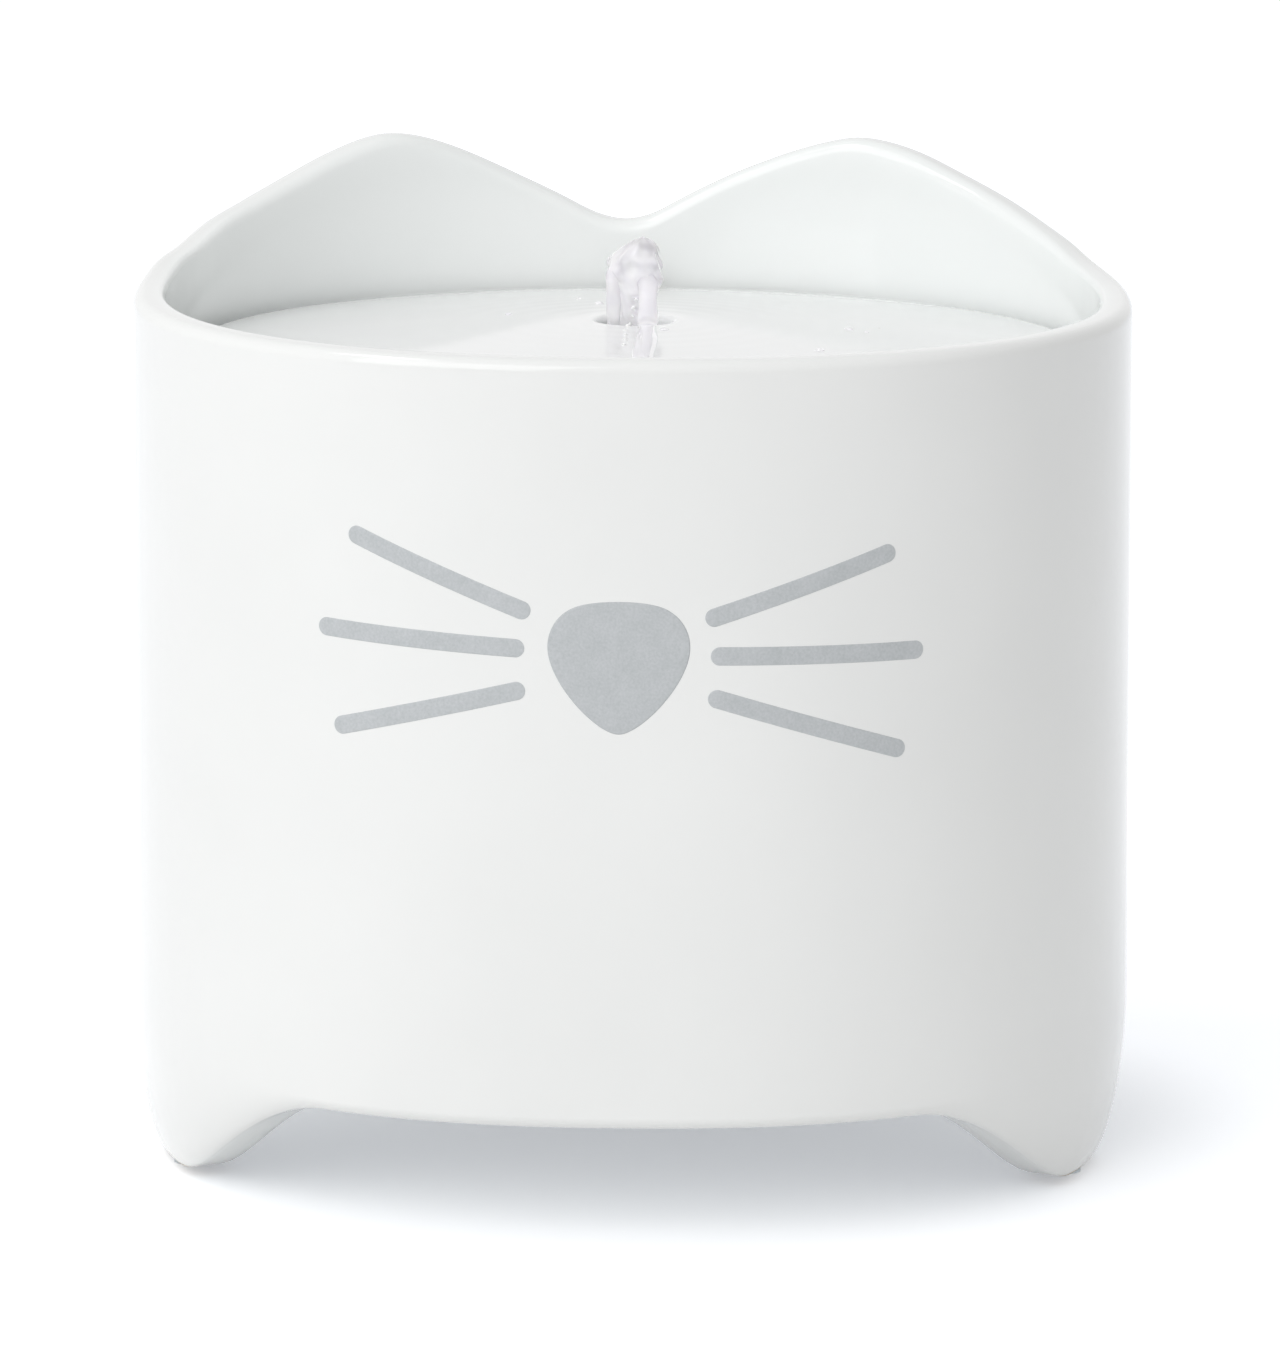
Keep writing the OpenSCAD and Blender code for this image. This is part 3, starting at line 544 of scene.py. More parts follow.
def bar(first, last):
    """Stations along the bar, close together at its round ends. The half width is the root of
    r^2 - d^2, where d is how far a station is beyond the centre of an end's circle."""
    first, last = np.array(first), np.array(last)
    length = np.linalg.norm(last - first)
    ahead = (last - first) / length
    across = np.array([-ahead[1], ahead[0]])
    end = WHISKER_R * np.cos(ramp(np.pi, np.pi / 2, 10))
    at = np.concatenate([end, ramp(0, length, 42)[1:-1], length - end[::-1]])
    beyond = np.maximum(np.maximum(-at, at - length), 0)
    half = np.sqrt(np.maximum(WHISKER_R ** 2 - beyond ** 2, 0).round(9))
    turn = ramp(0, 2 * np.pi, 25)[:-1]
    side = np.sign(np.cos(turn)) * np.abs(np.cos(turn)) ** 0.6
    lift = np.sign(np.sin(turn)) * np.abs(np.sin(turn)) ** 0.5
    full = (half / WHISKER_R) ** 0.4
    flat = (first + at[:, None] * ahead)[:, None] + (half[:, None] * side)[..., None] * across
    return wrapped(flat, -WHISKER_SUNK + WHISKER_LIFT * lift * full[:, None])


for name, (first, last) in whisker_ends.items():
    piece_from_grid("whisker_" + name, bar(first, last), "base")

# %% [markdown]
# ## The water
# Water wells up through the outlet, stands over the plate in a knobbly dome a little taller than
# the outlet is wide, and falls back. It is a stack of rings whose radius follows a few heights
# of a profile; waves that twist with the height make the folds that falling water has.

# %% Dome of water
WATER_FOOT, WATER_TOP = 161.5, 182.9  # where it starts inside the outlet, and how high it is
CROWN = 181.0           # above this height, rings get closer together towards the top
CALM = 163.8            # the waves grow above this height, over 4 mm
HEAD_OFF = 1.5          # how far the head leans to the right
HEAD_FROM = 178.0       # it leans above this height, over 4.5 mm
heights = np.array([WATER_FOOT, 164.0, 167.0, 170.0, 172.5, 174.8, 177.0, 178.4, 179.4, 180.4,
                    181.4, 182.3, WATER_TOP])
radii = np.array([3.3, 3.3, 3.4, 3.8, 4.6, 5.2, 5.4, 5.2, 4.6, 3.8, 2.8, 1.7, 0.0])
rise = np.concatenate([ramp(WATER_FOOT, CROWN, 60),
                       CROWN + (WATER_TOP - CROWN) * np.sin(ramp(0, np.pi / 2, 14)[1:])])
spin = ramp(0, 2 * np.pi, 97)[:-1]
column, angle = np.meshgrid(rise, spin, indexing="ij")
waves = (0.05 * np.sin(3 * angle + 0.45 * column) + 0.045 * np.sin(5 * angle - 0.6 * column)
         + 0.03 * np.sin(9 * angle + 1.1 * column) + 0.02 * np.sin(2.1 * column + 2 * angle))
free = ease((column - CALM) / 4)
width = through(heights, radii, column).clip(0) * (1 + waves * free)
lean = HEAD_OFF * ease((column - HEAD_FROM) / 4.5)
dome_points = np.stack([width * np.cos(angle) + lean, width * np.sin(angle), column], -1)
foot_ring = dome_points[:1] * (0, 0, 1)
tip_ring = dome_points[-1:] * (0, 0, 1) + (HEAD_OFF, 0, 0.05)
piece_from_grid("water_dome", np.concatenate([foot_ring, dome_points, tip_ring]), "base")
print("the water stands", round(WATER_TOP - PLATE_TOP, 1), "mm above the plate")

# %% [markdown]
# ## Falling water
# Two threads fall from the dome. The right one lands in front of the outlet and runs over the
# plate to its edge; the left one falls back into the outlet. Each is an oval section carried
# along a path: down the dome's side, round on to the plate and outwards, getting thinner as the
# water slows.

# %% Two threads
def thread(name, path, body, count):
    """path has rows of x, y, z, half width and half thickness. A smooth curve runs through
    them, and each of its points gets an oval in the plane square to the curve."""
    knots = np.arange(len(path), dtype=float)
    at = ramp(0, len(path) - 1, count)
    x, y, z, wide, thick = [through(knots, v, at) for v in np.array(path, float).T]
    line = np.stack([x, y, z], -1)
    ahead = np.gradient(line, axis=0)
    ahead /= np.linalg.norm(ahead, axis=1)[:, None]
    side = np.array([1.0, 0, 0])
    up = np.cross(side, -ahead)
    turn = ramp(0, 2 * np.pi, 29)[:-1]
    ripple = 1 + 0.09 * np.sin(2.3 * at[:, None] + np.array([0, 1.3])) * (at[:, None] > 1)
    points = (line[:, None] + (wide[:, None] * ripple[:, :1] * np.cos(turn))[..., None] * side
              + (thick[:, None] * ripple[:, 1:] * np.sin(turn))[..., None] * up[:, None])
    ends = [points[k].mean(0) * np.ones_like(points[:1]) for k in (0, -1)]
    return piece_from_grid(name, np.concatenate([ends[0], points, ends[1]]), body)


thread("water_stream", [
    (2.4, -2.5, 176.0, 0.4, 0.4), (2.6, -4.4, 174.6, 1.9, 1.3), (2.7, -6.0, 171.4, 2.0, 1.3),
    (2.7, -7.4, 168.0, 2.0, 1.2), (2.7, -9.4, 166.8, 2.0, 0.9), (2.7, -14, 166.2, 2.0, 0.65),
    (2.9, -24, 165.8, 2.1, 0.5), (2.6, -40, 164.9, 2.2, 0.4), (3.0, -60, 163.4, 2.0, 0.3),
    (2.8, -84, 160.8, 0.3, 0.1)], "plate", 150)
thread("water_fallback", [
    (-3.0, -1.6, 178.0, 0.4, 0.4), (-4.0, -2.6, 176.8, 1.3, 1.0), (-4.4, -3.2, 174.0, 1.6, 1.3),
    (-4.2, -3.6, 170.5, 1.4, 1.2), (-4.2, -3.8, 167.0, 1.3, 1.2), (-4.1, -3.9, 163.5, 1.4, 1.2),
    (-4.0, -3.9, 161.0, 0.5, 0.5)], "base", 70)

# %% [markdown]
# ## Drops, and bubbles painted white
# A few drops lie on the plate. A string of small air bubbles hangs between the two threads and
# runs on over the plate; the bubbles are painted plain white, a painted highlight for the glints
# of light on them.

# %% Drops on the plate, and a string of bubbles
random = np.random.default_rng(7)
for k in range(7):
    away, at = random.uniform(14, 66), random.uniform(0, 2 * np.pi)
    x, y, size = away * np.cos(at), away * np.sin(at), random.uniform(0.5, 1.1)
    base = dome(np.hypot(x, y)) - 0.1
    drop = np.stack([size * np.sin(quarter), base + 0.6 * size * np.cos(quarter)], -1)
    drop = np.concatenate([drop, [[size * 0.9, base - 0.15], [0, base - 0.15]]])
    piece_from_grid(f"water_drop_{k + 1}", turned(drop, (x, y), 20)[::-1], "plate")
pole = ramp(-np.pi / 2, np.pi / 2, 13)
HANGING = 4             # so many bubbles hang between the threads, and the rest lie on the plate
for k in range(9):
    if k < HANGING:
        body, x, y, z = "base", 0.4 - 0.4 * k, -5.6 - 0.4 * k, 171.0 - 1.6 * k
        size = 0.34 + 0.08 * np.sin(2.4 * k)
    else:
        body, x, y = "plate", -0.95 - 0.05 * k, -9.0 - 5.2 * (k - HANGING)
        z, size = dome(-y), 0.42 + 0.08 * np.sin(1.9 * k)
    x += random.normal(0, 0.15)
    bubble = np.stack([size * np.cos(pole), z + size * np.sin(pole)], -1)
    piece_from_grid(f"foam_bubble_{k + 1}", turned(bubble, (x, y), 20), body)

# %% [markdown]
# ## Finishes
# Each finish is a node tree of its own, built round one Principled shader. One helper adds a
# node with its settings, values and links, and another starts a material. Patterns read Object
# coordinates, which are metres here, so the scale of a noise is one over its real grain size.

# %% Helpers for materials
def linear(colour):
    """sRGB hex to linear light: x / 12.92 in the darks, and a power of 2.4 above them."""
    c = np.array([int(colour[i:i + 2], 16) for i in (1, 3, 5)]) / 255
    c = np.where(c <= 0.04045, c / 12.92, ((c + 0.055) / 1.055) ** 2.4)
    return (*c.tolist(), 1.0)


def fill(tree, node, inputs):
    """Sets a node's inputs. A socket is linked, and any other value becomes the input's own."""
    for key, value in inputs.items():
        if isinstance(value, bpy.types.NodeSocket):
            tree.links.new(value, node.inputs[key])
        else:
            node.inputs[key].default_value = value


def add(tree, kind, inputs=None, stops=(), **settings):
    """Adds a node with its settings and inputs. stops are a ramp's places and hex colours."""
    node = tree.nodes.new("ShaderNode" + kind)
    for name, value in settings.items():
        setattr(node, name, value)
    fill(tree, node, inputs or {})
    if stops:
        band = node.color_ramp.elements
        band[1].position, band[0].position = stops[-1][0], stops[0][0]
        for place, _ in stops[1:-1]:
            band.new(place)
        for element, (_, colour) in zip(band, stops):
            element.color = linear(colour)
    return node


def finish_named(name, **values):
    """A material with one Principled shader, whose plain values are set on its own sockets."""
    material = bpy.data.materials.new(name)
    material.use_nodes = True
    tree = material.node_tree
    shader = tree.nodes["Principled BSDF"]
    for key, value in values.items():
        shader.inputs[key.replace("_", " ")].default_value = value
    return material, tree, shader


def pattern(tree, shader, factor, stops, height, depth_mm):
    """Colours the surface by a ramp over one pattern, and raises it by another, so deep."""
    tone = add(tree, "ValToRGB", {"Fac": factor}, stops=stops)
    relief = add(tree, "Bump", {"Height": height, "Distance": depth_mm * MM, "Strength": 1.0})
    fill(tree, shader, {"Base Color": tone.outputs["Color"], "Normal": relief.outputs["Normal"]})


def named(*starts):
    """The pieces whose names start with one of these words."""
    return [piece for piece in bpy.data.objects if piece.name.startswith(starts)]


def paint(material, *pieces):
    """Gives pieces a finish, in place of any that they have."""
    for piece in pieces:
        piece.data.materials.clear()
        piece.data.materials.append(material)
    print(material.name, "is on", len(pieces), "pieces")


print("#808080 is", round(linear("#808080")[0], 3), "in linear light")

# %% [markdown]
# ## White glaze
# Stoneware with an opaque white glaze: glass a few tenths of a millimetre thick, so it shines
# like glass with an IOR of 1.5, but its surface has long soft waves and a fine orange peel. The
# inside is painted whiter and a little cooler than the outside: painted light, for the light
# that falls inside the bowl. The glaze is wiped off the feet, which show the bare clay, matt and
# slightly warm. Each of these is a small function, which takes the colour or the relief so far
# and gives it back with its own.

# %% Painted light inside, specks, ripples and bare feet
LIT_INSIDE_EDGE = (94.5, 96.5)   # the painted light inside ends between these sizes of the outline, in mm
SHINE, CLAY_ROUGH = 0.08, 0.8
RIPPLE_MM = 5.5         # from one ripple to the next


def painted_light_inside(tree, place, cloud, colour, dark, light):
    """The outline's formula tells the size of the outline that a point lies on: the n-th root
    of |x|^n + |y|^n. Inside the wall, the colour is painted whiter and cooler: painted light."""
    part = add(tree, "SeparateXYZ", {"Vector": place})
    powers = [add(tree, "Math", {0: add(tree, "Math", {0: part.outputs[axis]},
                                        operation="ABSOLUTE").outputs[0], 1: SQUARE},
                  operation="POWER").outputs[0] for axis in "XY"]
    total = add(tree, "Math", {0: powers[0], 1: powers[1]}, operation="ADD")
    size = add(tree, "Math", {0: total.outputs[0], 1: 1 / SQUARE}, operation="POWER")
    lit_inside = add(tree, "MapRange", {"Value": size.outputs[0], "From Min": LIT_INSIDE_EDGE[0] * MM,
                                    "From Max": LIT_INSIDE_EDGE[1] * MM, "To Min": 1.0, "To Max": 0.0})
    # Painted light: the inside's two tones are whiter and cooler than the outside's.
    thick = add(tree, "ValToRGB", {"Fac": cloud}, stops=((0.3, dark), (0.7, light)))
    return add(tree, "Mix", {0: lit_inside.outputs[0], 6: colour, 7: thick.outputs["Color"]},
               data_type="RGBA").outputs[2]


def specked(tree, place, colour):
    """One cell in eight of a 16 mm pattern holds a pale speck, 0.26 mm in radius."""
    pin = add(tree, "TexVoronoi", {"Vector": place, "Scale": 1 / 0.016})
    near = add(tree, "Math", {0: pin.outputs["Distance"], 1: 0.016}, operation="LESS_THAN")
    cell = add(tree, "SeparateColor", {"Color": pin.outputs["Color"]})
    rare = add(tree, "Math", {0: cell.outputs["Red"], 1: 0.12}, operation="LESS_THAN")
    speck = add(tree, "Math", {0: near.outputs[0], 1: rare.outputs[0]}, operation="MULTIPLY")
    return add(tree, "Mix", {0: speck.outputs[0], 6: colour, 7: linear("#CFCDC6")},
               data_type="RGBA").outputs[2]


def rippled(tree, place, normal):
    """Rings of water round the outlet: the sine of the way from the middle, fading from 8 to
    50 mm."""
    flat = add(tree, "VectorMath", {0: place, 1: (1, 1, 0)}, operation="MULTIPLY")
    away = add(tree, "VectorMath", {0: flat.outputs[0]}, operation="LENGTH")
    phase = add(tree, "Math", {0: away.outputs["Value"], 1: 2 * np.pi / (RIPPLE_MM * MM)},
                operation="MULTIPLY")
    wave = add(tree, "Math", {0: phase.outputs[0]}, operation="SINE")
    fade = add(tree, "MapRange", {"Value": away.outputs["Value"], "From Min": 0.008,
                                  "From Max": 0.05, "To Min": 1.0, "To Max": 0.0})
    faded = add(tree, "Math", {0: wave.outputs[0], 1: fade.outputs[0]}, operation="MULTIPLY")
    return add(tree, "Bump", {"Height": faded.outputs[0], "Distance": 0.008 * MM,
                              "Strength": 1.0, "Normal": normal}).outputs["Normal"]


def bare_feet(tree, place, shader, colour, below):
    """Below a ragged line the clay shows: its colour is mixed in, and the shine goes."""
    height = add(tree, "SeparateXYZ", {"Vector": place})
    ragged = add(tree, "TexNoise", {"Vector": place, "Scale": 1 / 0.003, "Detail": 2.0})
    edge = add(tree, "Math", {0: ragged.outputs["Fac"], 1: 0.0012, 2: -0.0006},
               operation="MULTIPLY_ADD")
    line = add(tree, "Math", {0: height.outputs["Z"], 1: edge.outputs[0]}, operation="ADD")
    bare = add(tree, "MapRange", {"Value": line.outputs[0], "From Min": below * MM,
                                  "From Max": (below + 0.25) * MM, "To Min": 1.0,
                                  "To Max": 0.0}).outputs[0]
    rough = add(tree, "MapRange", {"Value": bare, "To Min": SHINE, "To Max": CLAY_ROUGH})
    fill(tree, shader, {"Roughness": rough.outputs[0]})
    return add(tree, "Mix", {0: bare, 6: colour, 7: linear("#D9D2C5")},
               data_type="RGBA").outputs[2]


print("ripples are", RIPPLE_MM, "mm apart")

# %% Glazed stoneware
def glazed_stoneware(name, dark, light, inside=None, bare_below=None, ripples=False):
    """Clouds of two whites and a few specks over long waves and a fine orange peel."""
    material, tree, shader = finish_named(name, IOR=1.5, Roughness=SHINE)
    place = add(tree, "TexCoord").outputs["Object"]
    cloud = add(tree, "TexNoise", {"Vector": place, "Scale": 1 / 0.06, "Detail": 3.0})
    cloud = cloud.outputs["Fac"]
    colour = add(tree, "ValToRGB", {"Fac": cloud}, stops=((0.3, dark), (0.7, light)))
    colour = colour.outputs["Color"]
    if inside is not None:
        colour = painted_light_inside(tree, place, cloud, colour, *inside)
    colour = specked(tree, place, colour)
    if bare_below is not None:
        colour = bare_feet(tree, place, shader, colour, bare_below)
    long_waves = add(tree, "TexNoise", {"Vector": place, "Scale": 1 / 0.035, "Detail": 1.0})
    soft = add(tree, "Bump", {"Height": long_waves.outputs["Fac"], "Distance": 0.05 * MM,
                              "Strength": 1.0})
    peel = add(tree, "TexNoise", {"Vector": place, "Scale": 1 / 0.004, "Detail": 1.0})
    relief = add(tree, "Bump", {"Height": peel.outputs["Fac"], "Distance": 0.004 * MM,
                                "Strength": 1.0, "Normal": soft.outputs["Normal"]})
    relief = relief.outputs["Normal"]
    if ripples:
        relief = rippled(tree, place, relief)
    fill(tree, shader, {"Base Color": colour, "Normal": relief})
    return material


# Painted light: the second pair of whites, for the inside, is lighter and cooler than the outside.
paint(glazed_stoneware("white_glaze_on_stoneware", "#F1F2F1", "#F5F6F5",
                       inside=("#F6F9F8", "#F9FBFA"), bare_below=2.1), bowl_glazed)
# Painted light: the plate's whites are lighter than the bowl's glaze, to lift the shade that the
# bowl's walls cast on it.
paint(glazed_stoneware("wet_white_glaze", "#F8F9F9", "#FBFCFC", ripples=True), *named("plate_"))

# %% [markdown]
# ## Silver-grey transfer ink
# A ceramic ink with a little mica, fired on. Screen printing leaves it faintly mottled, and it
# is matt beside the glaze. Mica flakes are finer than can be seen here, so the grain is drawn
# at 0.5 mm.

# %% Ink
ink, tree, shader = finish_named("fired_grey_ink", IOR=1.5, Roughness=0.5)
place = add(tree, "TexCoord").outputs["Object"]
grain = add(tree, "TexNoise", {"Vector": place, "Scale": 1 / 0.0005, "Detail": 2.0})
mottle = add(tree, "TexNoise", {"Vector": place, "Scale": 1 / 0.004, "Detail": 3.0})
both = add(tree, "Mix", {0: 0.35, 2: grain.outputs["Fac"], 3: mottle.outputs["Fac"]})
pattern(tree, shader, both.outputs[0], ((0.3, "#B9BEC0"), (0.7, "#CACDD0")),
        grain.outputs["Fac"], 0.01)
paint(ink, *named("nose", "whisker_"))

# %% [markdown]
# ## Water
# Water has an IOR of 1.333 and no colour of its own at this size, but water that wells up is
# full of fine air, which makes it milky: part of the light is scattered and the rest passes
# blurred. A smooth coat keeps the glints of its skin. The shadow of the water on the plate is
# turned off, because light passes through water, and path tracing would need very many samples
# to show that. The bubbles get a plain white finish: a painted highlight, which stands in for
# the glints on them.

# %% Water
water, tree, shader = finish_named("moving_water", IOR=1.333, Roughness=0.08,
                                   Transmission_Weight=0.56, Coat_Weight=1.0, Coat_IOR=1.333,
                                   Coat_Roughness=0.02)
place = add(tree, "TexCoord").outputs["Object"]
air = add(tree, "TexNoise", {"Vector": place, "Scale": 1 / 0.003, "Detail": 2.0})
pattern(tree, shader, air.outputs["Fac"], ((0.35, "#F9F7FC"), (0.6, "#FFFEFF")),
        air.outputs["Fac"], 0.06)
paint(water, *named("water_"))
for piece in named("water_"):
    piece.visible_shadow = False

# %% Bubbles, painted white as a highlight
# Painted highlight: the bubbles are plain white, standing in for the glints of light on them.
bubble_glint_white, tree, shader = finish_named("white_painted_glint", IOR=1.45, Roughness=0.12)
place = add(tree, "TexCoord").outputs["Object"]
air = add(tree, "TexNoise", {"Vector": place, "Scale": 1 / 0.0005, "Detail": 1.0})
pattern(tree, shader, air.outputs["Fac"], ((0.3, "#FBFCFD"), (0.6, "#FFFFFF")),
        air.outputs["Fac"], 0.02)
paint(bubble_glint_white, *named("foam_bubble_"))

# %% [markdown]
# ## Moulded and fitted parts
# Most parts under the plate are moulded plastics and rubbers. Plastics carry the fine spark
# grain of their mould, silicone is milky and soft, and EPDM rubber is matt black.

# %% Plastics and rubbers
def moulded(name, colour, other, grain_mm, depth_mm, Roughness, **values):
    """A moulding: two close colours in slow clouds, and the mould's grain as bump and as a
    roughness that varies by 15% each way."""
    material, tree, shader = finish_named(name, **values)
    place = add(tree, "TexCoord").outputs["Object"]
    cloud = add(tree, "TexNoise", {"Vector": place, "Scale": 1 / 0.02, "Detail": 2.0})
    grain = add(tree, "TexNoise", {"Vector": place, "Scale": 1 / (grain_mm * MM), "Detail": 2.0})
    spread = add(tree, "MapRange", {"Value": grain.outputs["Fac"], "To Min": Roughness * 0.85,
                                    "To Max": Roughness * 1.15})
    fill(tree, shader, {"Roughness": spread.outputs[0]})
    pattern(tree, shader, cloud.outputs["Fac"], ((0.35, colour), (0.65, other)),
            grain.outputs["Fac"], depth_mm)
    return material


nodes = frame["nodes"]
abs_white = moulded("white_abs", "#E6E8E7", "#ECEDED", 0.4, 0.012, Roughness=0.38, IOR=1.54)
abs_dark = moulded("grained_graphite_abs", "#2C3034", "#34383C", 0.35, 0.02, Roughness=0.45,
                   IOR=1.54)
acetal = moulded("natural_acetal", "#ECECE6", "#F2F2EE", 0.5, 0.006, Roughness=0.32, IOR=1.48)
epdm = moulded("black_epdm", "#1D1E1F", "#242526", 0.6, 0.02, Roughness=0.75, IOR=1.5)
silicone = moulded("milky_silicone", "#DDE4E6", "#E8EEEF", 0.8, 0.01, Roughness=0.42, IOR=1.41,
                   Transmission_Weight=0.55)
clear_tube = moulded("clear_acrylic_tube", "#E9F3F3", "#F4FAFA", 1.5, 0.002, Roughness=0.06,
                     IOR=1.49, Transmission_Weight=0.92)
paint(abs_white, *[nodes[n] for n in ("filter_case", "filter_tray", "filter_grid",
                                      "flow_slide")])
paint(abs_dark, nodes["pump_body"], nodes["pump_cover"])
paint(acetal, nodes["impeller"])
paint(epdm, *[nodes[n] for n in ("rear_bush", "front_bush", "lead_gland")])
paint(silicone, *[nodes[n] for n in (
    "foot_pad_left", "foot_pad_right", "foot_pad_back", "riser_sleeve", "riser_adapter",
    "suction_cup_1", "suction_cup_2", "suction_cup_3", "suction_cup_4")])
paint(clear_tube, nodes["riser_tube"])

# %% [markdown]
# ## Filter media
# The foam is open-cell polyurethane with cells of about 1.2 mm: cell walls stay light and the
# cells are painted dark, as painted shade in the open pores. The carbon is a bed of 2 mm
# granules. The fleece is polyester, felted, with fibres lying every way.

# %% Foam ring
foam, tree, shader = finish_named("open_cell_foam", Roughness=0.95, IOR=1.45)
place = add(tree, "TexCoord").outputs["Object"]
cells = add(tree, "TexVoronoi", {"Vector": place, "Scale": 1 / 0.0012},
            feature="DISTANCE_TO_EDGE")
walls = add(tree, "MapRange", {"Value": cells.outputs["Distance"], "From Max": 0.3,
                               "To Min": 1.0, "To Max": 0.0})
# Painted shade: the middle of each cell is dark, for the shade inside the pores.
pattern(tree, shader, cells.outputs["Distance"],
        ((0.02, "#7C858B"), (0.12, "#3F464B"), (0.4, "#24282B")), walls.outputs[0], 0.3)
paint(foam, nodes["foam_ring"])

# %% Carbon
carbon, tree, shader = finish_named("activated_carbon_granules", Roughness=0.6, IOR=1.6)
place = add(tree, "TexCoord").outputs["Object"]
grains = add(tree, "TexVoronoi", {"Vector": place, "Scale": 1 / 0.002})
single = add(tree, "SeparateColor", {"Color": grains.outputs["Color"]})
hump = add(tree, "MapRange", {"Value": grains.outputs["Distance"], "From Max": 0.6,
                              "To Min": 1.0, "To Max": 0.0})
pattern(tree, shader, single.outputs["Red"],
        ((0.0, "#15171A"), (0.8, "#2A2D30"), (1.0, "#4A4E52")), hump.outputs[0], 0.5)
paint(carbon, nodes["carbon_bed"])

# %% Fleece
fleece, tree, shader = finish_named("polyester_fleece", Roughness=1.0, Sheen_Weight=0.3)
place = add(tree, "TexCoord").outputs["Object"]
fibres = []
for stretch in ((1, 0.12, 1), (0.12, 1, 1), (0.5, 0.5, 0.2)):
    laid = add(tree, "Mapping", {"Vector": place, "Scale": stretch,
                                 "Rotation": (0, 0, 0.6 * stretch[0])})
    fibres.append(add(tree, "TexNoise", {"Vector": laid.outputs[0], "Scale": 1 / 0.0007,
                                         "Detail": 2.0}).outputs["Fac"])
felt = add(tree, "Math", {0: fibres[0], 1: fibres[1]}, operation="MAXIMUM")
felt = add(tree, "Math", {0: felt.outputs[0], 1: fibres[2]}, operation="ADD")
pattern(tree, shader, felt.outputs[0], ((0.75, "#D5D6D2"), (1.0, "#F4F4F1")),
        felt.outputs[0], 0.25)
paint(fleece, nodes["fleece_lower"], nodes["fleece_upper"])

# %% [markdown]
# ## Inside the pump
# The shaft is ground alumina, hard and ivory white. The magnet is sintered ferrite, dark grey
# and slightly porous. The yoke is a stack of 0.5 mm electrical steel sheets, whose edges show as
# lines, and the coil is enamelled copper wire 0.4 mm thick, wound in rows.

# %% Shaft and magnet
paint(moulded("ground_alumina", "#F1EDE2", "#F6F3EB", 0.3, 0.003, Roughness=0.3, IOR=1.76),
      nodes["shaft"])
paint(moulded("sintered_ferrite", "#3A3B3D", "#45464A", 0.5, 0.03, Roughness=0.6, IOR=2.2),
      nodes["rotor_magnet"])


# %% Yoke and coil
def lined(name, dark, light, pitch_mm, direction, depth_mm, **values):
    """Parallel ridges across one axis, one per pitch. A wave's scale of one turn needs its
    length in units of 2 pi / 20."""
    material, tree, shader = finish_named(name, **values)
    place = add(tree, "TexCoord").outputs["Object"]
    ridges = add(tree, "TexWave", {"Vector": place, "Scale": np.pi / 10 / (pitch_mm * MM),
                                   "Distortion": 0.3, "Detail": 1.0},
                 wave_type="BANDS", bands_direction=direction)
    pattern(tree, shader, ridges.outputs["Fac"], ((0.1, dark), (0.7, light)),
            ridges.outputs["Fac"], depth_mm)
    return material


paint(lined("stacked_electrical_steel", "#6E7174", "#A3A6A9", 0.5, "Y", 0.03, Metallic=1.0,
            Roughness=0.42), nodes["motor_core"])
paint(lined("enamelled_copper_winding", "#6B2F14", "#B4622F", 0.4, "X", 0.12, Metallic=0.9,
            Roughness=0.28, Coat_Weight=0.6), nodes["motor_coil"])

# %% [markdown]
# ## Floor, light and camera
# A white object on white needs gentle light from one side, or it loses its form. The world is
# a glow that leans to the left. A soft box stands at the front left, and a smaller one, like a
# window at the left, puts glints on the rim. The background is white because the world and the
# floor look white to the camera and in reflections, and not because of more light: what reaches
# the object is weaker than the white that the camera sees.

# %% Floor and world
def seen(tree):
    """1 for rays from the camera, from mirrors and through glass, and 0 for light."""
    path = add(tree, "LightPath")
    both = add(tree, "Math", {0: path.outputs["Is Camera Ray"], 1: path.outputs["Is Glossy Ray"]},
               operation="MAXIMUM")
    return add(tree, "Math", {0: both.outputs[0], 1: path.outputs["Is Transmission Ray"]},
               operation="MAXIMUM").outputs[0]


GLOW = 0.62            # what the world gives the object
LEAN = 0.27            # how much more of it comes from the left than from the right
FLOOR_GLOW_AND_SHADOW = (0.39, 0.52)  # what the floor adds to its own look, at the object and far away; less at the object, as a painted shadow
FLOOR_SIDE = 6.0       # half of the floor's side, in metres
sweep = bpy.data.materials.new("white_sweep")
sweep.use_nodes = True
tree = sweep.node_tree
tree.nodes.clear()
matt = add(tree, "BsdfDiffuse", {"Color": (0.9, 0.9, 0.9, 1)})
away = add(tree, "VectorMath", {0: add(tree, "TexCoord").outputs["Object"]}, operation="LENGTH")
# Painted shadow: within 0.14 m of the object the floor glows less, so it looks darker round the
# bowl.
glow_shadowed_near = add(tree, "MapRange", {"Value": away.outputs["Value"], "From Min": 0.095,
                                   "From Max": 0.14, "To Min": FLOOR_GLOW_AND_SHADOW[0],
                                   "To Max": FLOOR_GLOW_AND_SHADOW[1]}, interpolation_type="SMOOTHSTEP")
own = add(tree, "Math", {0: seen(tree), 1: glow_shadowed_near.outputs[0]}, operation="MULTIPLY")
# Painted shade colour: the glow is a little blue, which tints the shadow that it fills.
glow = add(tree, "Emission", {"Color": linear("#F4F8FF"), "Strength": own.outputs[0]})
both = add(tree, "AddShader", {0: matt.outputs[0], 1: glow.outputs[0]})
add(tree, "OutputMaterial", {"Surface": both.outputs[0]})
mesh = bpy.data.meshes.new("floor")
corners = [(x * FLOOR_SIDE, y * FLOOR_SIDE, 0) for x, y in ((-1, -1), (1, -1), (1, 1), (-1, 1))]
mesh.from_pydata(corners, [], [(0, 1, 2, 3)])
floor = bpy.data.objects.new("floor", mesh)
mesh.materials.append(sweep)
bpy.context.scene.collection.objects.link(floor)

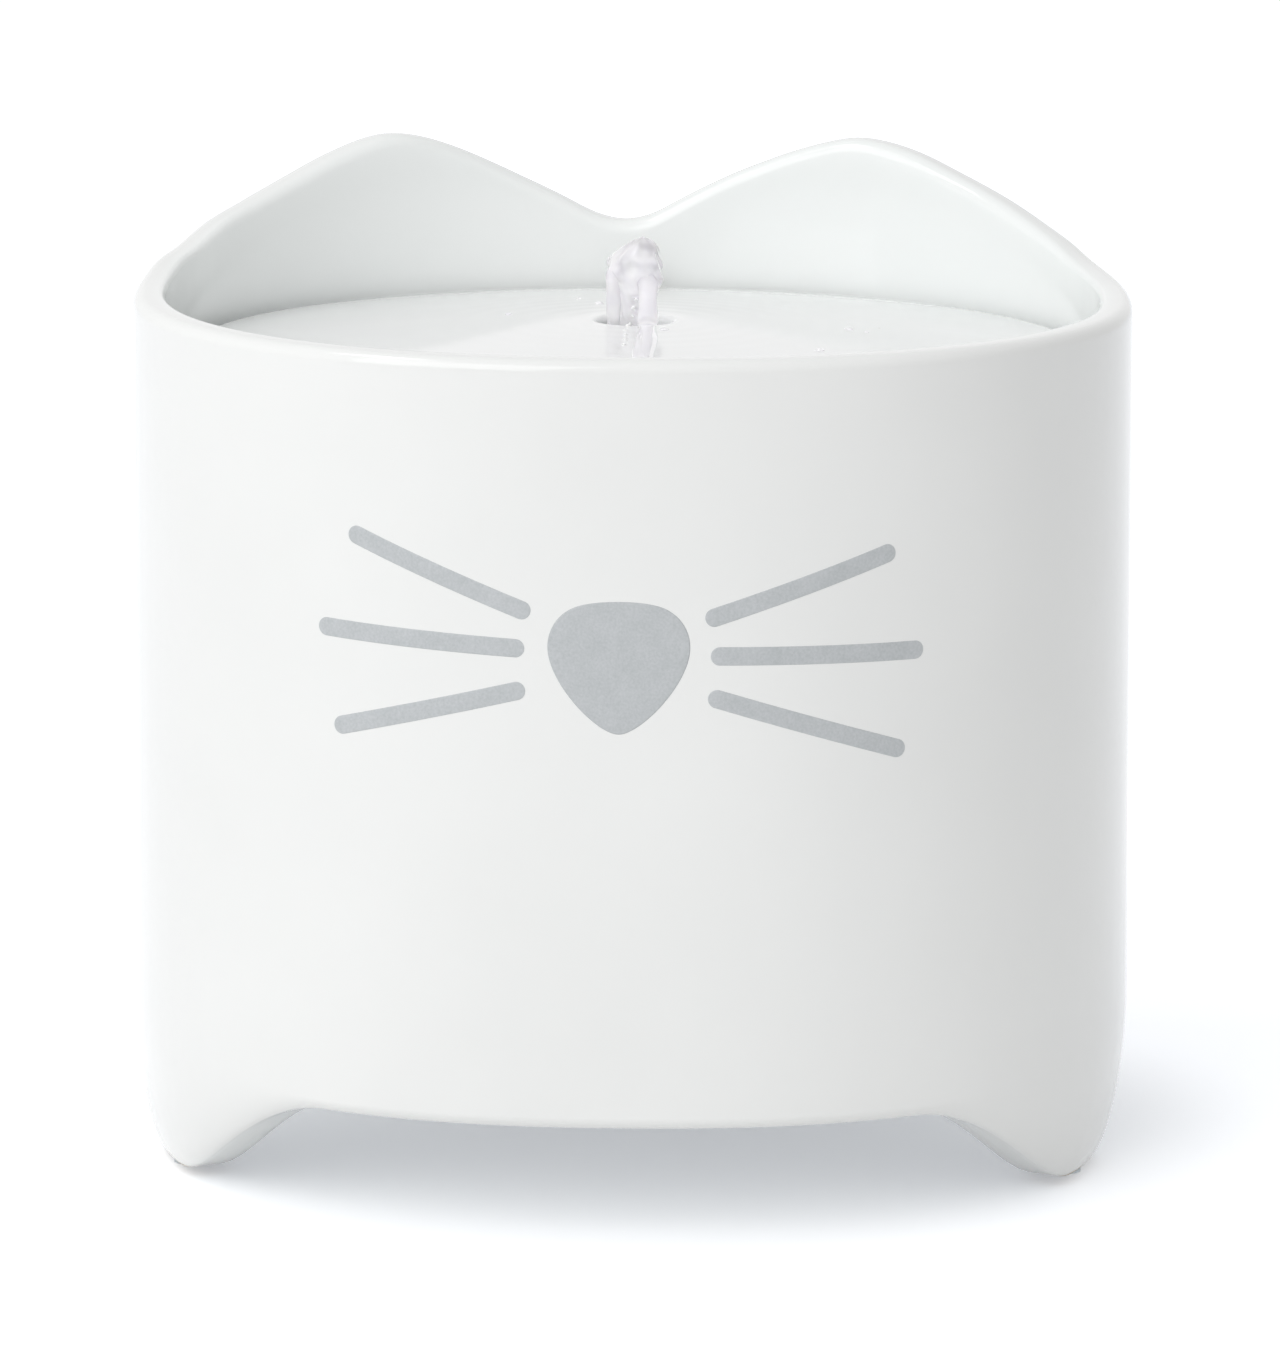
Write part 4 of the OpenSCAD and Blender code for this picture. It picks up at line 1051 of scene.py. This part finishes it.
world = bpy.data.worlds.new("even_glow")
bpy.context.scene.world = world
world.use_nodes = True
tree = world.node_tree
tree.nodes.clear()
towards = np.array([-0.70, -0.65, -0.10])
side = add(tree, "VectorMath", {0: add(tree, "TexCoord").outputs["Generated"],
                                1: towards / np.linalg.norm(towards)}, operation="DOT_PRODUCT")
lit = add(tree, "MapRange", {"Value": side.outputs["Value"], "From Min": -1.0,
                             "To Min": GLOW * (1 - LEAN), "To Max": GLOW * (1 + LEAN)})
strength = add(tree, "MapRange", {"Value": seen(tree), "To Min": lit.outputs[0], "To Max": 1.0})
sky = add(tree, "Background", {"Color": (1, 1, 1, 1), "Strength": strength.outputs[0]})
add(tree, "OutputWorld", {"Surface": sky.outputs[0]})
print("the world gives", GLOW, "and looks 1.0")

# %% [markdown]
# A soft box is an area lamp. It points along its own -Z, so its turn is built from the direction
# to the object's middle. Its power follows from the light wanted there: at a distance d, a lamp
# of power P gives P / (pi d^2), and a white surface looks as bright as 1 when it gets pi.

# %% Soft box
from mathutils import Matrix, Vector

AIM = Vector((0, 0, 0.1))  # the object's middle, in metres


def soft_box(name, around, above, away, size, share, colour="#FFFFFF"):
    """A lamp at an angle round the object from the front, an angle above the floor, and a
    distance. share is the light that it gives a surface that faces it, 1 being white."""
    a, e = np.radians(around), np.radians(above)
    to = Vector((np.sin(a) * np.cos(e), -np.cos(a) * np.cos(e), np.sin(e)))
    lamp = bpy.data.lights.new(name, "AREA")
    lamp.shape = "RECTANGLE"
    lamp.size, lamp.size_y = size
    lamp.energy = share * np.pi * np.pi * away ** 2
    lamp.color = linear(colour)[:3]
    holder = bpy.data.objects.new(name, lamp)
    holder.matrix_world = (Matrix.Translation(to * away + AIM)
                           @ to.to_track_quat("Z", "Y").to_matrix().to_4x4())
    bpy.context.scene.collection.objects.link(holder)
    print(name, "has", round(lamp.energy, 1), "W")


soft_box("soft_box_key", -34, 36, 1.9, (1.4, 1.4), 0.30)
soft_box("window_left", -78, 61, 1.6, (0.5, 0.36), 0.08)

# %% [markdown]
# ## Camera
# A long lens from two metres away, a little above the rim, keeps the bowl's sides parallel. The
# picture is 1280 by 1350, so the sensor's 36 mm lie along its height.

# %% Camera
PIXELS_HIGH, FOCAL_PIXELS = 1350, 9500
AWAY, RIGHTWARDS, DOWNWARDS = 1.9129, 0.00133, 0.00114  # from the middle of the picture, in m
PICTURE_MIDDLE = Vector((0, 0, 0.095))
pitch, yaw, roll = np.radians([10.578, -1.5, 0.269])
ahead = Vector((np.sin(yaw) * np.cos(pitch), np.cos(yaw) * np.cos(pitch), -np.sin(pitch)))
right = Vector((np.cos(yaw), -np.sin(yaw), 0))
up = right.cross(ahead)
middle = PICTURE_MIDDLE - ahead * AWAY + right * RIGHTWARDS - up * DOWNWARDS
rolled_right = np.cos(roll) * right + np.sin(roll) * up
rolled_up = np.cos(roll) * up - np.sin(roll) * right
camera = bpy.data.objects.new("camera", bpy.data.cameras.new("camera"))
turn = Matrix((rolled_right, rolled_up, -ahead)).transposed()
camera.matrix_world = Matrix.Translation(middle) @ turn.to_4x4()
camera.data.lens = FOCAL_PIXELS / PIXELS_HIGH * camera.data.sensor_width
camera.data.clip_end = 50
bpy.context.scene.collection.objects.link(camera)
bpy.context.scene.camera = camera
bpy.context.scene.view_settings.view_transform = "Standard"
print("lens", round(camera.data.lens, 1), "mm")
